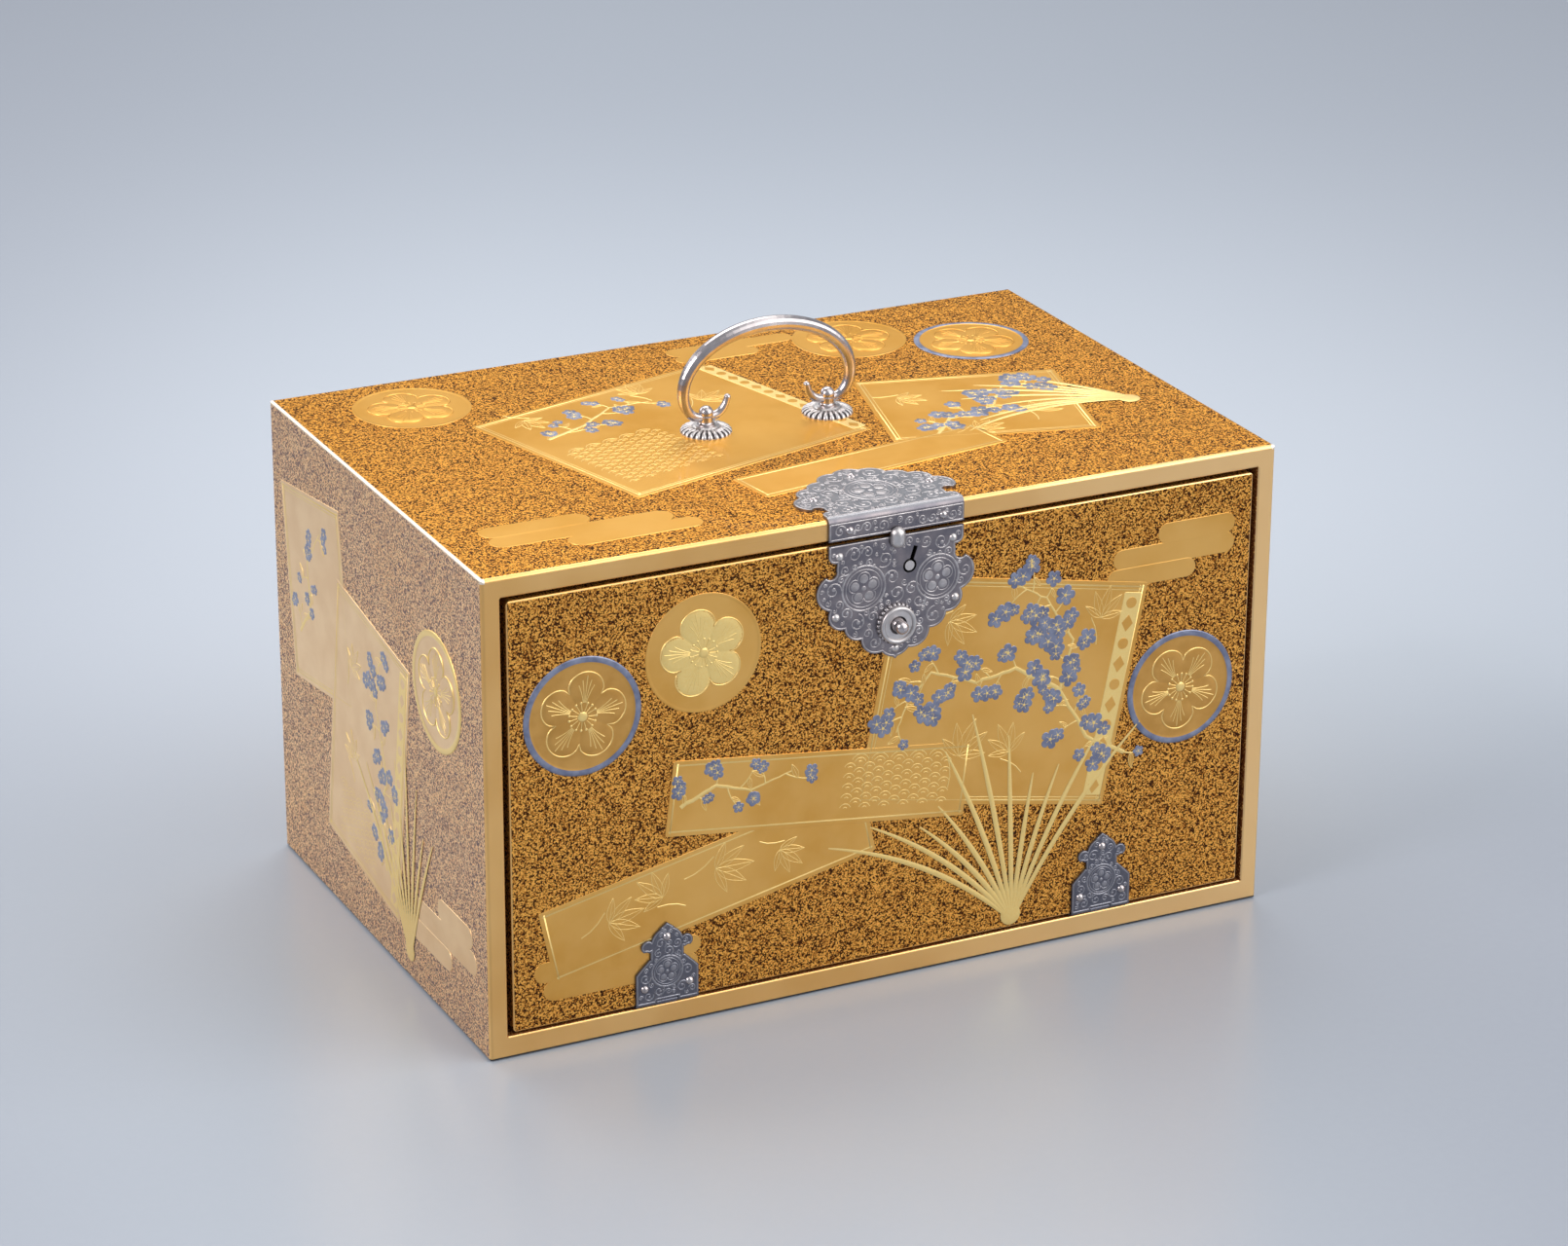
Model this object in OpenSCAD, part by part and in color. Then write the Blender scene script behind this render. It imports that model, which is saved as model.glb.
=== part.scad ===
// Lacquered incense chest with one drop front door, a silver lock, a silver bail handle
// and four drawers inside. Origin: middle of the underside. +X right, front faces -Y, +Z up.

/* [Case] */
// Width of the case
case_w = 272; // [255:1:295]
// Depth of the case from front to back
case_d = 176; // [160:1:195]
// Height of the case without the handle
case_h = 158; // [144:1:165]
// Thickness of the side boards
side_t = 6.2; // [5:0.1:8]
// Thickness of the top board
top_t = 6.8; // [6:0.1:8]
// Thickness of the bottom board, whose front edge is the lower rail
bottom_t = 7.6; // [6:0.1:9]
// Thickness of the back board
back_t = 6; // [4:0.1:8]
// How far the back board laps into the boards round it
back_lap = 3; // [1.5:0.1:4]
// Fingers in each corner joint of the case, an odd number
finger_count = 9; // [5:2:15]
// Rounding of the outer edges of the case
outer_r = 1.2; // [0.5:0.1:1.8]
// Rounding of the edges round the door opening
arris_r = 0.8; // [0.3:0.1:1.2]

/* [Inner boards] */
// Thickness of the inner floor, which lifts the drawers over the opened door
floor_t = 9.1; // [8.5:0.1:12]
// Thickness of the two shelves
shelf_t = 3.5; // [3.2:0.1:5]
// Thickness of the divider between the two top drawers
divider_t = 3.5; // [2.5:0.1:5]
// Depth of the grooves that hold the shelves and the divider
housing_d = 1.5; // [0.8:0.1:2]
// Height of the space for the bottom drawer
bottom_cell_h = 48.5; // [38:0.5:50]
// Height of the space for the middle drawer
middle_cell_h = 42; // [32:0.5:44]

/* [Door] */
// Thickness of the door
door_t = 6.5; // [6.2:0.1:8]
// Gap on each side of the door
door_side_gap = 1.7; // [0.8:0.1:2.5]
// Gap over the door
door_top_gap = 1.3; // [0.8:0.1:1.8]
// Gap under the door
door_low_gap = 0.9; // [0.85:0.05:1.3]
// Gap between the door and the front edges of the shelves that stop it
door_stop_gap = 0.3; // [0.2:0.05:1]
// Rounding of the door's front edges and corners
door_edge_r = 0.6; // [0.3:0.1:1]
// Rounding of the door's four corners seen from the front
door_corner_r = 1.5; // [0.8:0.1:3]

/* [Hinges] */
// Distance of each hinge from the middle of the case
hinge_x = 76.8; // [50:0.5:100]
// Width of a hinge
hinge_w = 21.2; // [18:0.1:26]
// Height of the leaf on the door, from the pin to its tip
leaf_h = 26.8; // [22:0.1:30]
// Thickness of all the silver plates on the front and the top
plate_t = 0.8; // [0.6:0.05:1]
// Radius of the hinge barrel
knuckle_r = 0.75; // [0.7:0.05:0.85]
// Radius of the hinge pin
pin_r = 0.35; // [0.25:0.05:0.4]
// Gap round the pin in its barrel
pin_play = 0.04; // [0.02:0.01:0.08]
// Running gap between knuckles and round them
knuckle_gap = 0.15; // [0.1:0.01:0.2]
// Height of the barrel over the lower rail
knuckle_seat = 0.3; // [0.2:0.05:0.4]
// Length of the middle knuckle, which belongs to the rail leaf
middle_knuckle_w = 7; // [5:0.1:9]
// Thickness of the leaf on the lower rail
rail_leaf_t = 0.5; // [0.4:0.05:0.6]

/* [Lock plate and hasp] */
// Distance of the lock from the middle of the case
lock_x = 0.9; // [-3:0.1:3]
// Half the widest width of the lock plate and of the hasp plate
plate_half_w = 27.2; // [25:0.1:30]
// Height of the lock plate
lock_plate_h = 40.6; // [37:0.1:42]
// Depth of the hasp plate on the top
hasp_len = 36.9; // [30:0.1:42]
// Radius of the rivet heads
rivet_r = 1.35; // [1:0.05:1.4]
// Height of the rivet heads
rivet_h = 0.95; // [0.6:0.05:1.1]
// Radius of the rivet shanks
shank_r = 0.5; // [0.35:0.05:0.6]
// Length of the rivet shanks in the wood
shank_len = 3; // [2:0.1:3.5]
// Gap round what is driven or pushed into a hole
fit_play = 0.03; // [0.02:0.01:0.05]
// How far the keyhole stands to the right of the lock's middle
key_shift = 4.6; // [3.5:0.1:5.5]
// How far the round part of the keyhole lies under the door's top edge
key_drop = 10.6; // [9.6:0.1:12]
// How far the button lies under the door's top edge
button_drop = 28.8; // [27.8:0.1:29.6]
// Radius of the round part of the keyhole
keyhole_r = 2.3; // [2.1:0.1:2.6]
// Width of the keyhole's slot
key_slot_w = 1.4; // [1:0.1:2]
// Length of the keyhole's slot from the middle of its round part
key_slot_len = 6.5; // [5:0.1:7]
// Lean of the keyhole's slot
key_slot_lean = 18; // [0:1:20]
// Radius of the key pin
key_pin_r = 1.6; // [1.2:0.1:1.7]
// Radius of the oval stud at the top of the lock plate
stud_r = 2.5; // [2:0.1:2.7]
// Length of the oval stud
stud_len = 7; // [6:0.1:7.5]

/* [Push button] */
// Radius of the flower rosette round the button
button_rosette_r = 6.8; // [6.6:0.1:6.9]
// Height of that rosette
button_rosette_h = 1.3; // [1:0.1:1.6]
// Petals of that rosette
button_petals = 18; // [12:1:24]
// Radius of the collar
collar_r = 6.1; // [5:0.1:6.4]
// Height of the collar over the lock plate
collar_h = 2.7; // [2.3:0.1:3]
// Radius of the button's shaft
button_r = 1.5; // [1.2:0.1:1.7]
// Radius of the button's ball end
button_ball_r = 2.2; // [1.8:0.1:2.3]
// How far the button stands out of the door
button_out = 7; // [6.5:0.1:7.2]
// Travel of the button
button_travel = 1.2; // [0.8:0.1:1.4]
// Running gap round the button and the bolt
slide_gap = 0.2; // [0.1:0.05:0.25]
// Wire of the button's spring
spring_wire = 0.3; // [0.2:0.05:0.35]
// Turns of the button's spring
spring_turns = 3; // [2:0.5:3]

/* [Lock works] */
// Width of the lock case
lock_case_w = 28; // [26:0.5:30]
// Height of the lock case
lock_case_h = 30; // [29:0.5:31]
// Depth of the lock case in the back of the door
lock_case_d = 4.3; // [4.1:0.1:4.5]
// Thickness of the lock case's metal
lock_metal_t = 0.6; // [0.4:0.05:0.7]
// How far the lock case lies under the door's top edge
lock_case_drop = 4.4; // [4:0.1:5]
// Margin of the lock cover round the lock case
cover_margin = 3; // [2:0.5:4]
// How far the bolt stands to the left of the lock's middle
bolt_shift = 6.4; // [6:0.1:7]
// Height of the bolt's low end over the button's middle
bolt_low = 4.4; // [4:0.1:5]
// Width of the bolt
bolt_w = 7; // [6:0.1:8]
// Thickness of the bolt
bolt_t = 2; // [1.5:0.1:2]
// Travel of the bolt
bolt_travel = 3.5; // [3:0.1:3.6]
// Radius of the post that guides the bolt
guide_r = 0.8; // [0.6:0.1:1]

/* [Bail handle] */
// Distance of each bail post from the middle
post_x = 21.5; // [19:0.1:24]
// Half the widest width of the bail, to the middle of its rod
bail_half_w = 29.5; // [28:0.1:34]
// Height of the bail's middle over its pivot
bail_rise = 27.9; // [24:0.1:32]
// Height of the widest place over the pivot
bail_waist = 8.4; // [7:0.1:10]
// Radius of the rod in the middle of the bail
rod_top_r = 2.5; // [2:0.05:2.8]
// Radius of the rod at the widest place
rod_side_r = 1.95; // [1.6:0.05:2.1]
// Radius of the rod in the posts
rod_eye_r = 1.4; // [1.2:0.05:1.45]
// Radius of the rod at its hooked tips
rod_tip_r = 1.1; // [0.8:0.05:1.2]
// Length of a hooked end, measured across
hook_w = 5.4; // [4.5:0.1:6]
// Height scale of a hooked end
hook_h = 7.3; // [6:0.1:8]
// Gap round the rod in the posts
rod_play = 0.06; // [0.03:0.01:0.09]
// Radius of a bail post
post_r = 2.1; // [2:0.05:2.4]
// Radius of the ball on a bail post
ball_r = 2.4; // [2.2:0.05:2.6]
// Height of the bail's pivot over the top of the case
pivot_h = 5.2; // [4.9:0.1:6.5]
// Radius of the rosettes under the bail posts
rosette_r = 8.5; // [7.5:0.1:9.5]
// Height of these rosettes
rosette_h = 2.6; // [2:0.1:2.7]
// Petals of these rosettes
rosette_petals = 24; // [12:1:28]
// Radius of the washers that hold the posts under the top board
washer_r = 4; // [3:0.1:5]
// Thickness of these washers
washer_t = 0.8; // [0.5:0.1:1.2]

/* [Drawers] */
// Distance from the door to the drawer fronts
drawer_setback = 9; // [7:0.1:12]
// Thickness of the drawer fronts
drawer_front_t = 5; // [4:0.1:7]
// Thickness of the drawer sides and backs
drawer_wall_t = 3.5; // [2.5:0.1:4.5]
// Thickness of the drawer bottoms
drawer_bottom_t = 2.5; // [1.5:0.1:3.5]
// How far a drawer bottom laps into the boards round it
drawer_lap = 1.5; // [0.8:0.1:2]
// How far the drawer sides lap into the front
side_lap = 2; // [1:0.1:3]
// Running gap on each side of a drawer
drawer_side_gap = 0.4; // [0.2:0.05:0.8]
// Running gap under a drawer
drawer_low_gap = 0.2; // [0.1:0.05:0.4]
// Running gap over a drawer
drawer_top_gap = 0.6; // [0.3:0.05:1]
// Gap behind a drawer
drawer_back_gap = 1.5; // [0.5:0.1:3]
// Radius of a drawer knob
knob_r = 2.7; // [2:0.1:3.5]
// How far a drawer knob stands out
knob_out = 5.5; // [4.5:0.1:6.5]
// Radius of a drawer knob's neck and shank
knob_neck_r = 1.1; // [0.8:0.05:1.4]

/* [Hidden] */
$fn = 48;
// Overrun of a cut past the face that it opens
cut = 1;

gold_lacquer = "peru";
inside_lacquer = "saddlebrown";
dark_silver = "slategray";
bright_silver = "gainsboro";

// Planes of the case
front_y = -case_d / 2;
back_y = case_d / 2;
half_w = case_w / 2;
inner_w = case_w - 2 * side_t;
ceiling_z = case_h - top_t;
back_inner_y = back_y - back_t;

// Door, which lies flush with the front of the case
door_w = inner_w - 2 * door_side_gap;
door_low_z = bottom_t + door_low_gap;
door_high_z = ceiling_z - door_top_gap;
door_back_y = front_y + door_t;
shelf_front_y = door_back_y + door_stop_gap;

// Spaces for the drawers
floor_z = bottom_t + floor_t;
lower_shelf_z = floor_z + bottom_cell_h;
middle_cell_z = lower_shelf_z + shelf_t;
upper_shelf_z = middle_cell_z + middle_cell_h;
top_cell_z = upper_shelf_z + shelf_t;
top_cell_w = (inner_w - divider_t) / 2;
drawer_front_y = door_back_y + drawer_setback;
drawer_back_y = back_inner_y - drawer_back_gap;

// A drawer as [middle x, low z, width, height, count of knobs]
function drawer_in(x, z, w, h, knobs) =
    [x, z + drawer_low_gap, w - 2 * drawer_side_gap, h - drawer_low_gap - drawer_top_gap, knobs];
top_cell_x = (divider_t + top_cell_w) / 2;
top_cell_h = ceiling_z - top_cell_z;
TOP_LEFT = drawer_in(-top_cell_x, top_cell_z, top_cell_w, top_cell_h, 1);
TOP_RIGHT = drawer_in(top_cell_x, top_cell_z, top_cell_w, top_cell_h, 1);
MIDDLE = drawer_in(0, middle_cell_z, inner_w, middle_cell_h, 2);
BOTTOM = drawer_in(0, floor_z, inner_w, bottom_cell_h, 2);

// Hinge line, in the plane of the door's front face
hinge_y = front_y;
hinge_z = bottom_t + knuckle_seat + knuckle_r;
knuckle_clear_r = knuckle_r + knuckle_gap;
leaf_half_w = hinge_w / 2;
// Rivets of a door leaf as [x, height over the hinge line]
leaf_rivets = [[0, 0.82 * leaf_h], [-0.72 * leaf_half_w, 0.2 * leaf_h], [0.72 * leaf_half_w, 0.2 * leaf_h]];
rail_nail_x = 0.66 * leaf_half_w;
rail_leaf_back_y = shelf_front_y - door_stop_gap;
rail_nail_y = (hinge_y + knuckle_clear_r + rail_leaf_back_y) / 2;

// Outline of the lock plate and the hasp plate. Places are shares of its half width and
// its length, with 0 at the straight edge and 1 at the tip.
mouth_half_w = 0.85 * plate_half_w;
mouth_corner_r = 0.088 * plate_half_w;
neck_half_w = 0.735 * plate_half_w;
notch = [0.82, 0.218, 0.072];
lobes = [[0.78, 0.378, 0.22], [0.669, 0.57, 0.18], [0.463, 0.674, 0.184], [0.228, 0.793, 0.206]];
last_lobe = [0, 0.835, 0.217];
tip_w = 0.15 * plate_half_w;
// Rivets as [x over half width, distance from the straight edge over length]
lock_rivets = [[-0.717, 0.096], [0.717, 0.096], [-0.757, 0.583], [0.757, 0.583], [0, 0.912]];
hasp_top_rivets = [[-0.735, 0.44], [0.735, 0.44], [0, 0.82]];
hasp_front_rivet_x = 0.59 * plate_half_w;
hasp_front_rivet_z = (ceiling_z + case_h - outer_r) / 2;

// Keyhole, button and stud on the lock plate
key_x = lock_x + key_shift;
key_z = door_high_z - key_drop;
button_z = door_high_z - button_drop;
stud_z = door_high_z - 0.4;
stud_neck_r = 0.62 * stud_r;
stud_neck_z = door_high_z - stud_neck_r - 0.3;
stud_gap = 0.35;
button_hole_r = button_r + slide_gap;

// Lock case in the back of the door
lock_case_high_z = door_high_z - lock_case_drop;
lock_case_low_z = lock_case_high_z - lock_case_h;
lock_case_y = door_back_y - lock_case_d;
lock_room_y = lock_case_y + lock_metal_t;
cover_y = door_back_y - lock_metal_t;
bolt_x = lock_x - bolt_shift;
bolt_y = lock_room_y + slide_gap;
bolt_high_z = door_high_z - 0.1;
bolt_low_z = button_z + bolt_low;
guide_z = bolt_low_z + bolt_travel + 3 * guide_r;
talon_r = 0.28 * bolt_w;
strike_end = 0.57 * bolt_w;
strike_side = 0.8 * bolt_t;
mortise_high_z = bolt_high_z + bolt_travel + 2 * slide_gap;

// Button, as distances out of the door's front face
skirt_r = 1.15 * button_ball_r;
skirt_hole_r = skirt_r + 2 * slide_gap;
skirt_z = plate_t + button_travel + slide_gap;
ball_out = button_out - button_ball_r;
collar_foot_r = 0.75 * collar_r;
flange_r = 1.73 * button_r;
flange_t = lock_metal_t;
flange_z = front_y - lock_room_y - flange_t - 0.05;
tail_r = 0.8 * button_r;
tail_len = 0.8 * button_travel;
coil_r = tail_r + spring_wire / 2 + 0.3;
spring_seat = 0.02;
coil_steps = 20;
wire_sides = 8;

// How far a rosette's slope is drawn past its petals
rim_reach = 0.3;

// Bail handle
pivot_z = case_h + pivot_h;
rod_hole_r = rod_eye_r + rod_play;
journal_half = post_r + 0.15;
hook_turn = 75;
post_shank_r = 0.57 * post_r;
ball_z = pivot_h + ball_r / 2;
post_foot_r = 1.38 * post_r;
bail_sides = 16;
// Radius of the rod's first ring outside a post, whose flats still clear the round part
ring_eye_r = rod_eye_r / cos(180 / bail_sides) + 0.02;
arch_steps = 36;
bend_steps = 12;

// Drawer knobs
knob_base_h = 0.11 * knob_out;
knob_head_h = 0.44 * knob_out;
peen_h = 0.5;

// A rectangle with rounded corners, round its middle
module rounded_rect(w, d, r) {
    square([w - 2 * r, d], center = true);
    square([w, d - 2 * r], center = true);
    for (sx = [-1, 1], sy = [-1, 1])
        translate([sx * (w / 2 - r), sy * (d / 2 - r)]) circle(r);
}

// A box from one corner to the opposite one
module block(low, high) {
    translate(low) cube(high - low);
}

// Turns what is modelled along +Z so that it points out of the front at x, z
module on_front(x, z, y = front_y) {
    translate([x, y, z]) rotate([90, 0, 0]) children();
}

// The cut that rounds an edge along +X, with the wood on its +Y and -Z side
module edge_cut(length, r) {
    rotate([90, 0, 90]) linear_extrude(length, center = true) difference() {
        translate([-cut, -r]) square([cut + r, r + cut]);
        translate([r, -r]) circle(r);
    }
}

// The case as one solid with rounded outer edges
module case_form() {
    intersection() {
        linear_extrude(case_h) rounded_rect(case_w, case_d, outer_r);
        translate([0, 0, case_h / 2]) rotate([90, 0, 0])
            linear_extrude(case_d, center = true) rounded_rect(case_w, case_h, outer_r);
        translate([0, 0, case_h / 2]) rotate([90, 0, 90])
            linear_extrude(case_w, center = true) rounded_rect(case_d, case_h, outer_r);
    }
}

// The fingers of the corner joints that belong to the boards of one kind: first is 0 for
// the top and the bottom, and 1 for the sides
module fingers(first) {
    pitch = case_d / finger_count;
    for (i = [first : 2 : finger_count - 1])
        translate([-half_w - cut, front_y + i * pitch, -cut])
            cube([case_w + 2 * cut, pitch, case_h + 2 * cut]);
}

// The corners where the boards meet, as four square bars
module corner_bars() {
    for (sx = [0, 1], sz = [0, 1])
        translate([sx == 0 ? -half_w - cut : half_w - side_t, front_y - cut,
            sz == 0 ? -cut : ceiling_z])
            cube([side_t + cut, case_d + 2 * cut, (sz == 0 ? bottom_t : top_t) + cut]);
}

// The rebate for the back board, cut in the four boards round it
module back_rebate() {
    block([-inner_w / 2 - back_lap, back_inner_y, bottom_t - back_lap],
        [inner_w / 2 + back_lap, back_y + cut, ceiling_z + back_lap]);
}

// A rivet that stands on z = 0, with its shank below
module rivet(under) {
    cap_r = (rivet_r * rivet_r + rivet_h * rivet_h) / (2 * rivet_h);
    intersection() {
        translate([0, 0, rivet_h - cap_r]) sphere(cap_r);
        cylinder(r = rivet_r, h = rivet_h);
    }
    translate([0, 0, -under - shank_len]) cylinder(r = shank_r, h = under + shank_len);
}

// The hole for a rivet's shank, from z = 0 down
module rivet_hole(under) {
    translate([0, 0, -under - shank_len])
        cylinder(r = shank_r + fit_play, h = under + shank_len + cut);
}

module at_lock_rivets(out) {
    for (p = lock_rivets)
        on_front(lock_x + p[0] * plate_half_w, door_high_z - p[1] * lock_plate_h, front_y - out)
            children();
}

module at_hasp_rivets(out) {
    for (p = hasp_top_rivets)
        translate([lock_x + p[0] * plate_half_w, front_y + p[1] * hasp_len, case_h + out]) children();
    for (sx = [-1, 1])
        on_front(lock_x + sx * hasp_front_rivet_x, hasp_front_rivet_z, front_y - out) children();
}

module at_leaf_rivets(out) {
    for (sx = [-1, 1], p = leaf_rivets)
        on_front(sx * hinge_x + p[0], hinge_z + p[1], front_y - out) children();
}

module at_rail_nails() {
    for (sx = [-1, 1], nx = [-1, 1])
        translate([sx * hinge_x + nx * rail_nail_x, rail_nail_y, bottom_t]) children();
}

// The round space that the barrels of both hinges turn in
module barrel_room() {
    for (sx = [-1, 1])
        translate([sx * hinge_x, hinge_y, hinge_z]) rotate([0, 90, 0])
            cylinder(r = knuckle_clear_r, h = hinge_w + 2 * knuckle_gap, center = true);
}

module at_posts() {
    for (sx = [-1, 1]) translate([sx * post_x, 0, case_h]) children();
}

// Case boards

module top_board() {
    color(gold_lacquer) difference() {
        intersection() {
            case_form();
            block([-half_w, front_y, ceiling_z], [half_w, back_y, case_h]);
        }
        intersection() {
            fingers(1);
            corner_bars();
        }
        back_rebate();
        translate([0, front_y, ceiling_z]) mirror([0, 0, 1]) edge_cut(inner_w, arris_r);
        block([-divider_t / 2, shelf_front_y, ceiling_z - cut],
            [divider_t / 2, back_inner_y, ceiling_z + housing_d]);
        at_posts() {
            translate([0, 0, -top_t - cut])
                cylinder(r = post_shank_r + fit_play, h = top_t + 2 * cut);
            translate([0, 0, -top_t - cut]) cylinder(r = washer_r, h = washer_t + cut);
        }
        at_hasp_rivets(0) rivet_hole(0);
        strike_form(cut);
        bolt_room(ceiling_z, mortise_high_z);
    }
}

module bottom_board() {
    color(gold_lacquer) difference() {
        intersection() {
            case_form();
            block([-half_w, front_y, 0], [half_w, back_y, bottom_t]);
        }
        intersection() {
            fingers(1);
            corner_bars();
        }
        back_rebate();
        translate([0, front_y, bottom_t]) edge_cut(inner_w, arris_r);
        at_rail_nails() rivet_hole(0);
    }
}

// The left side board; the right one is its mirror image
module side_board() {
    color(gold_lacquer) difference() {
        intersection() {
            case_form();
            block([-half_w, front_y, 0], [-inner_w / 2, back_y, case_h]);
        }
        intersection() {
            fingers(0);
            corner_bars();
        }
        back_rebate();
        translate([-inner_w / 2, front_y, (bottom_t + ceiling_z) / 2]) rotate([0, 90, 0])
            edge_cut(ceiling_z - bottom_t, arris_r);
        for (z = [lower_shelf_z, upper_shelf_z])
            block([-inner_w / 2 - housing_d, shelf_front_y, z],
                [-inner_w / 2 + cut, back_inner_y, z + shelf_t]);
    }
}

module left_side() side_board();
module right_side() mirror([1, 0, 0]) side_board();

module back_board() {
    color(gold_lacquer)
        block([-inner_w / 2 - back_lap, back_inner_y, bottom_t - back_lap],
            [inner_w / 2 + back_lap, back_y, ceiling_z + back_lap]);
}

// Inner boards

module inner_floor() {
    color(inside_lacquer)
        block([-inner_w / 2, shelf_front_y, bottom_t], [inner_w / 2, back_inner_y, floor_z]);
}

module shelf(z) {
    block([-inner_w / 2 - housing_d, shelf_front_y, z],
        [inner_w / 2 + housing_d, back_inner_y, z + shelf_t]);
}

module divider_form() {
    block([-divider_t / 2, shelf_front_y, top_cell_z - housing_d],
        [divider_t / 2, back_inner_y, ceiling_z + housing_d]);
}

module lower_shelf() {
    color(inside_lacquer) shelf(lower_shelf_z);
}

module upper_shelf() {
    color(inside_lacquer) difference() {
        shelf(upper_shelf_z);
        divider_form();
    }
}

module upper_divider() {
    color(inside_lacquer) divider_form();
}

// Lock plate and hasp

// The lobed outline, with its straight edge on y = 0 and its tip at y = len
module plate_outline(len) {
    side_len = (notch[1] - notch[2]) * len - mouth_corner_r;
    difference() {
        union() {
            translate([-mouth_half_w, 0]) square([2 * mouth_half_w, side_len]);
            translate([-mouth_half_w + mouth_corner_r, 0])
                square([2 * (mouth_half_w - mouth_corner_r), side_len + mouth_corner_r]);
            polygon([[-neck_half_w, side_len], [neck_half_w, side_len],
                [lobes[0][0] * plate_half_w, lobes[0][1] * len],
                [lobes[2][0] * plate_half_w, lobes[2][1] * len],
                [0, last_lobe[1] * len],
                [-lobes[2][0] * plate_half_w, lobes[2][1] * len],
                [-lobes[0][0] * plate_half_w, lobes[0][1] * len]]);
            for (sx = [-1, 1]) {
                translate([sx * (mouth_half_w - mouth_corner_r), side_len]) circle(mouth_corner_r);
                for (p = lobes)
                    translate([sx * p[0] * plate_half_w, p[1] * len]) circle(p[2] * plate_half_w);
            }
            translate([0, last_lobe[1] * len]) circle(last_lobe[2] * plate_half_w);
            translate([0, len - tip_w / sqrt(2)]) rotate(45) square(tip_w, center = true);
        }
        for (sx = [-1, 1])
            translate([sx * notch[0] * plate_half_w, notch[1] * len]) circle(notch[2] * plate_half_w);
    }
}

// The keyhole's outline round its round part
module keyhole() {
    circle(keyhole_r);
    rotate(-key_slot_lean) translate([-key_slot_w / 2, 0]) square([key_slot_w, key_slot_len]);
}

module lock_plate() {
    color(dark_silver) difference() {
        on_front(lock_x, door_high_z) linear_extrude(plate_t) mirror([0, 1]) plate_outline(lock_plate_h);
        on_front(key_x, key_z) translate([0, 0, -cut]) linear_extrude(plate_t + 2 * cut) keyhole();
        on_front(lock_x, button_z) translate([0, 0, -cut])
            cylinder(r = button_hole_r, h = plate_t + 2 * cut);
        at_lock_rivets(plate_t) rivet_hole(plate_t);
        on_front(lock_x, stud_neck_z, front_y - plate_t) rivet_hole(plate_t);
    }
}

module lock_plate_rivets() {
    color(bright_silver) at_lock_rivets(plate_t) rivet(plate_t);
}

// The plate over the top front edge of the case: a leaf on the top, a bend that follows
// the rounded edge, and a leaf on the front
module hasp_plate() {
    color(dark_silver) difference() {
        union() {
            intersection() {
                translate([lock_x, front_y, case_h]) linear_extrude(plate_t) plate_outline(hasp_len);
                block([-half_w, front_y + outer_r, 0], [half_w, back_y, case_h + cut]);
            }
            translate([lock_x, front_y + outer_r, case_h - outer_r]) rotate([90, 0, 90])
                linear_extrude(2 * mouth_half_w, center = true) intersection() {
                    difference() {
                        circle(outer_r + plate_t);
                        circle(outer_r);
                    }
                    translate([-outer_r - plate_t, 0]) square(outer_r + plate_t);
                }
            block([lock_x - mouth_half_w, front_y - plate_t, ceiling_z],
                [lock_x + mouth_half_w, front_y, case_h - outer_r]);
        }
        at_hasp_rivets(plate_t) rivet_hole(plate_t);
    }
}

module hasp_rivets() {
    color(bright_silver) at_hasp_rivets(plate_t) rivet(plate_t);
}

// A rod with round ends, along Y
module oval_rod() {
    reach = stud_len / 2 - stud_r;
    rotate([90, 0, 0]) cylinder(r = stud_r, h = 2 * reach, center = true);
    for (s = [-1, 1]) translate([0, s * reach, 0]) sphere(stud_r);
}

// The stud's neck stands on the lock plate, and its oval head reaches over the hasp plate
// without touching it
module door_stud() {
    color(bright_silver) {
        on_front(lock_x, stud_z, front_y - plate_t - stud_gap) intersection() {
            oval_rod();
            translate([-stud_len, -stud_len, 0]) cube([2 * stud_len, 2 * stud_len, stud_r + cut]);
        }
        on_front(lock_x, stud_neck_z, front_y - plate_t) {
            cylinder(r = stud_neck_r, h = 2 * stud_gap);
            translate([0, 0, -plate_t - shank_len]) cylinder(r = shank_r, h = plate_t + shank_len + stud_gap);
        }
    }
}

// The hole that the bolt shoots into, with the bolt's gap all round
module bolt_room(low, high) {
    block([bolt_x - bolt_w / 2 - slide_gap, bolt_y - slide_gap, low],
        [bolt_x + bolt_w / 2 + slide_gap, bolt_y + bolt_t + slide_gap, high]);
}

module strike_form(extra) {
    block([bolt_x - bolt_w / 2 - strike_end, bolt_y - strike_side, ceiling_z - extra],
        [bolt_x + bolt_w / 2 + strike_end, bolt_y + bolt_t + strike_side, ceiling_z + plate_t]);
}

// The plate let into the underside of the top board, with the mortise over it
module strike_plate() {
    color(dark_silver) difference() {
        strike_form(0);
        bolt_room(ceiling_z - cut, ceiling_z + plate_t + cut);
    }
}

// Push button

// A flower seen from above, with round petal ends
module flower(r, petals) {
    petal_r = 0.95 * r * sin(180 / petals);
    circle(r - petal_r);
    for (i = [0 : petals - 1]) rotate(i * 360 / petals) translate([r - petal_r, 0]) circle(petal_r);
}

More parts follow.
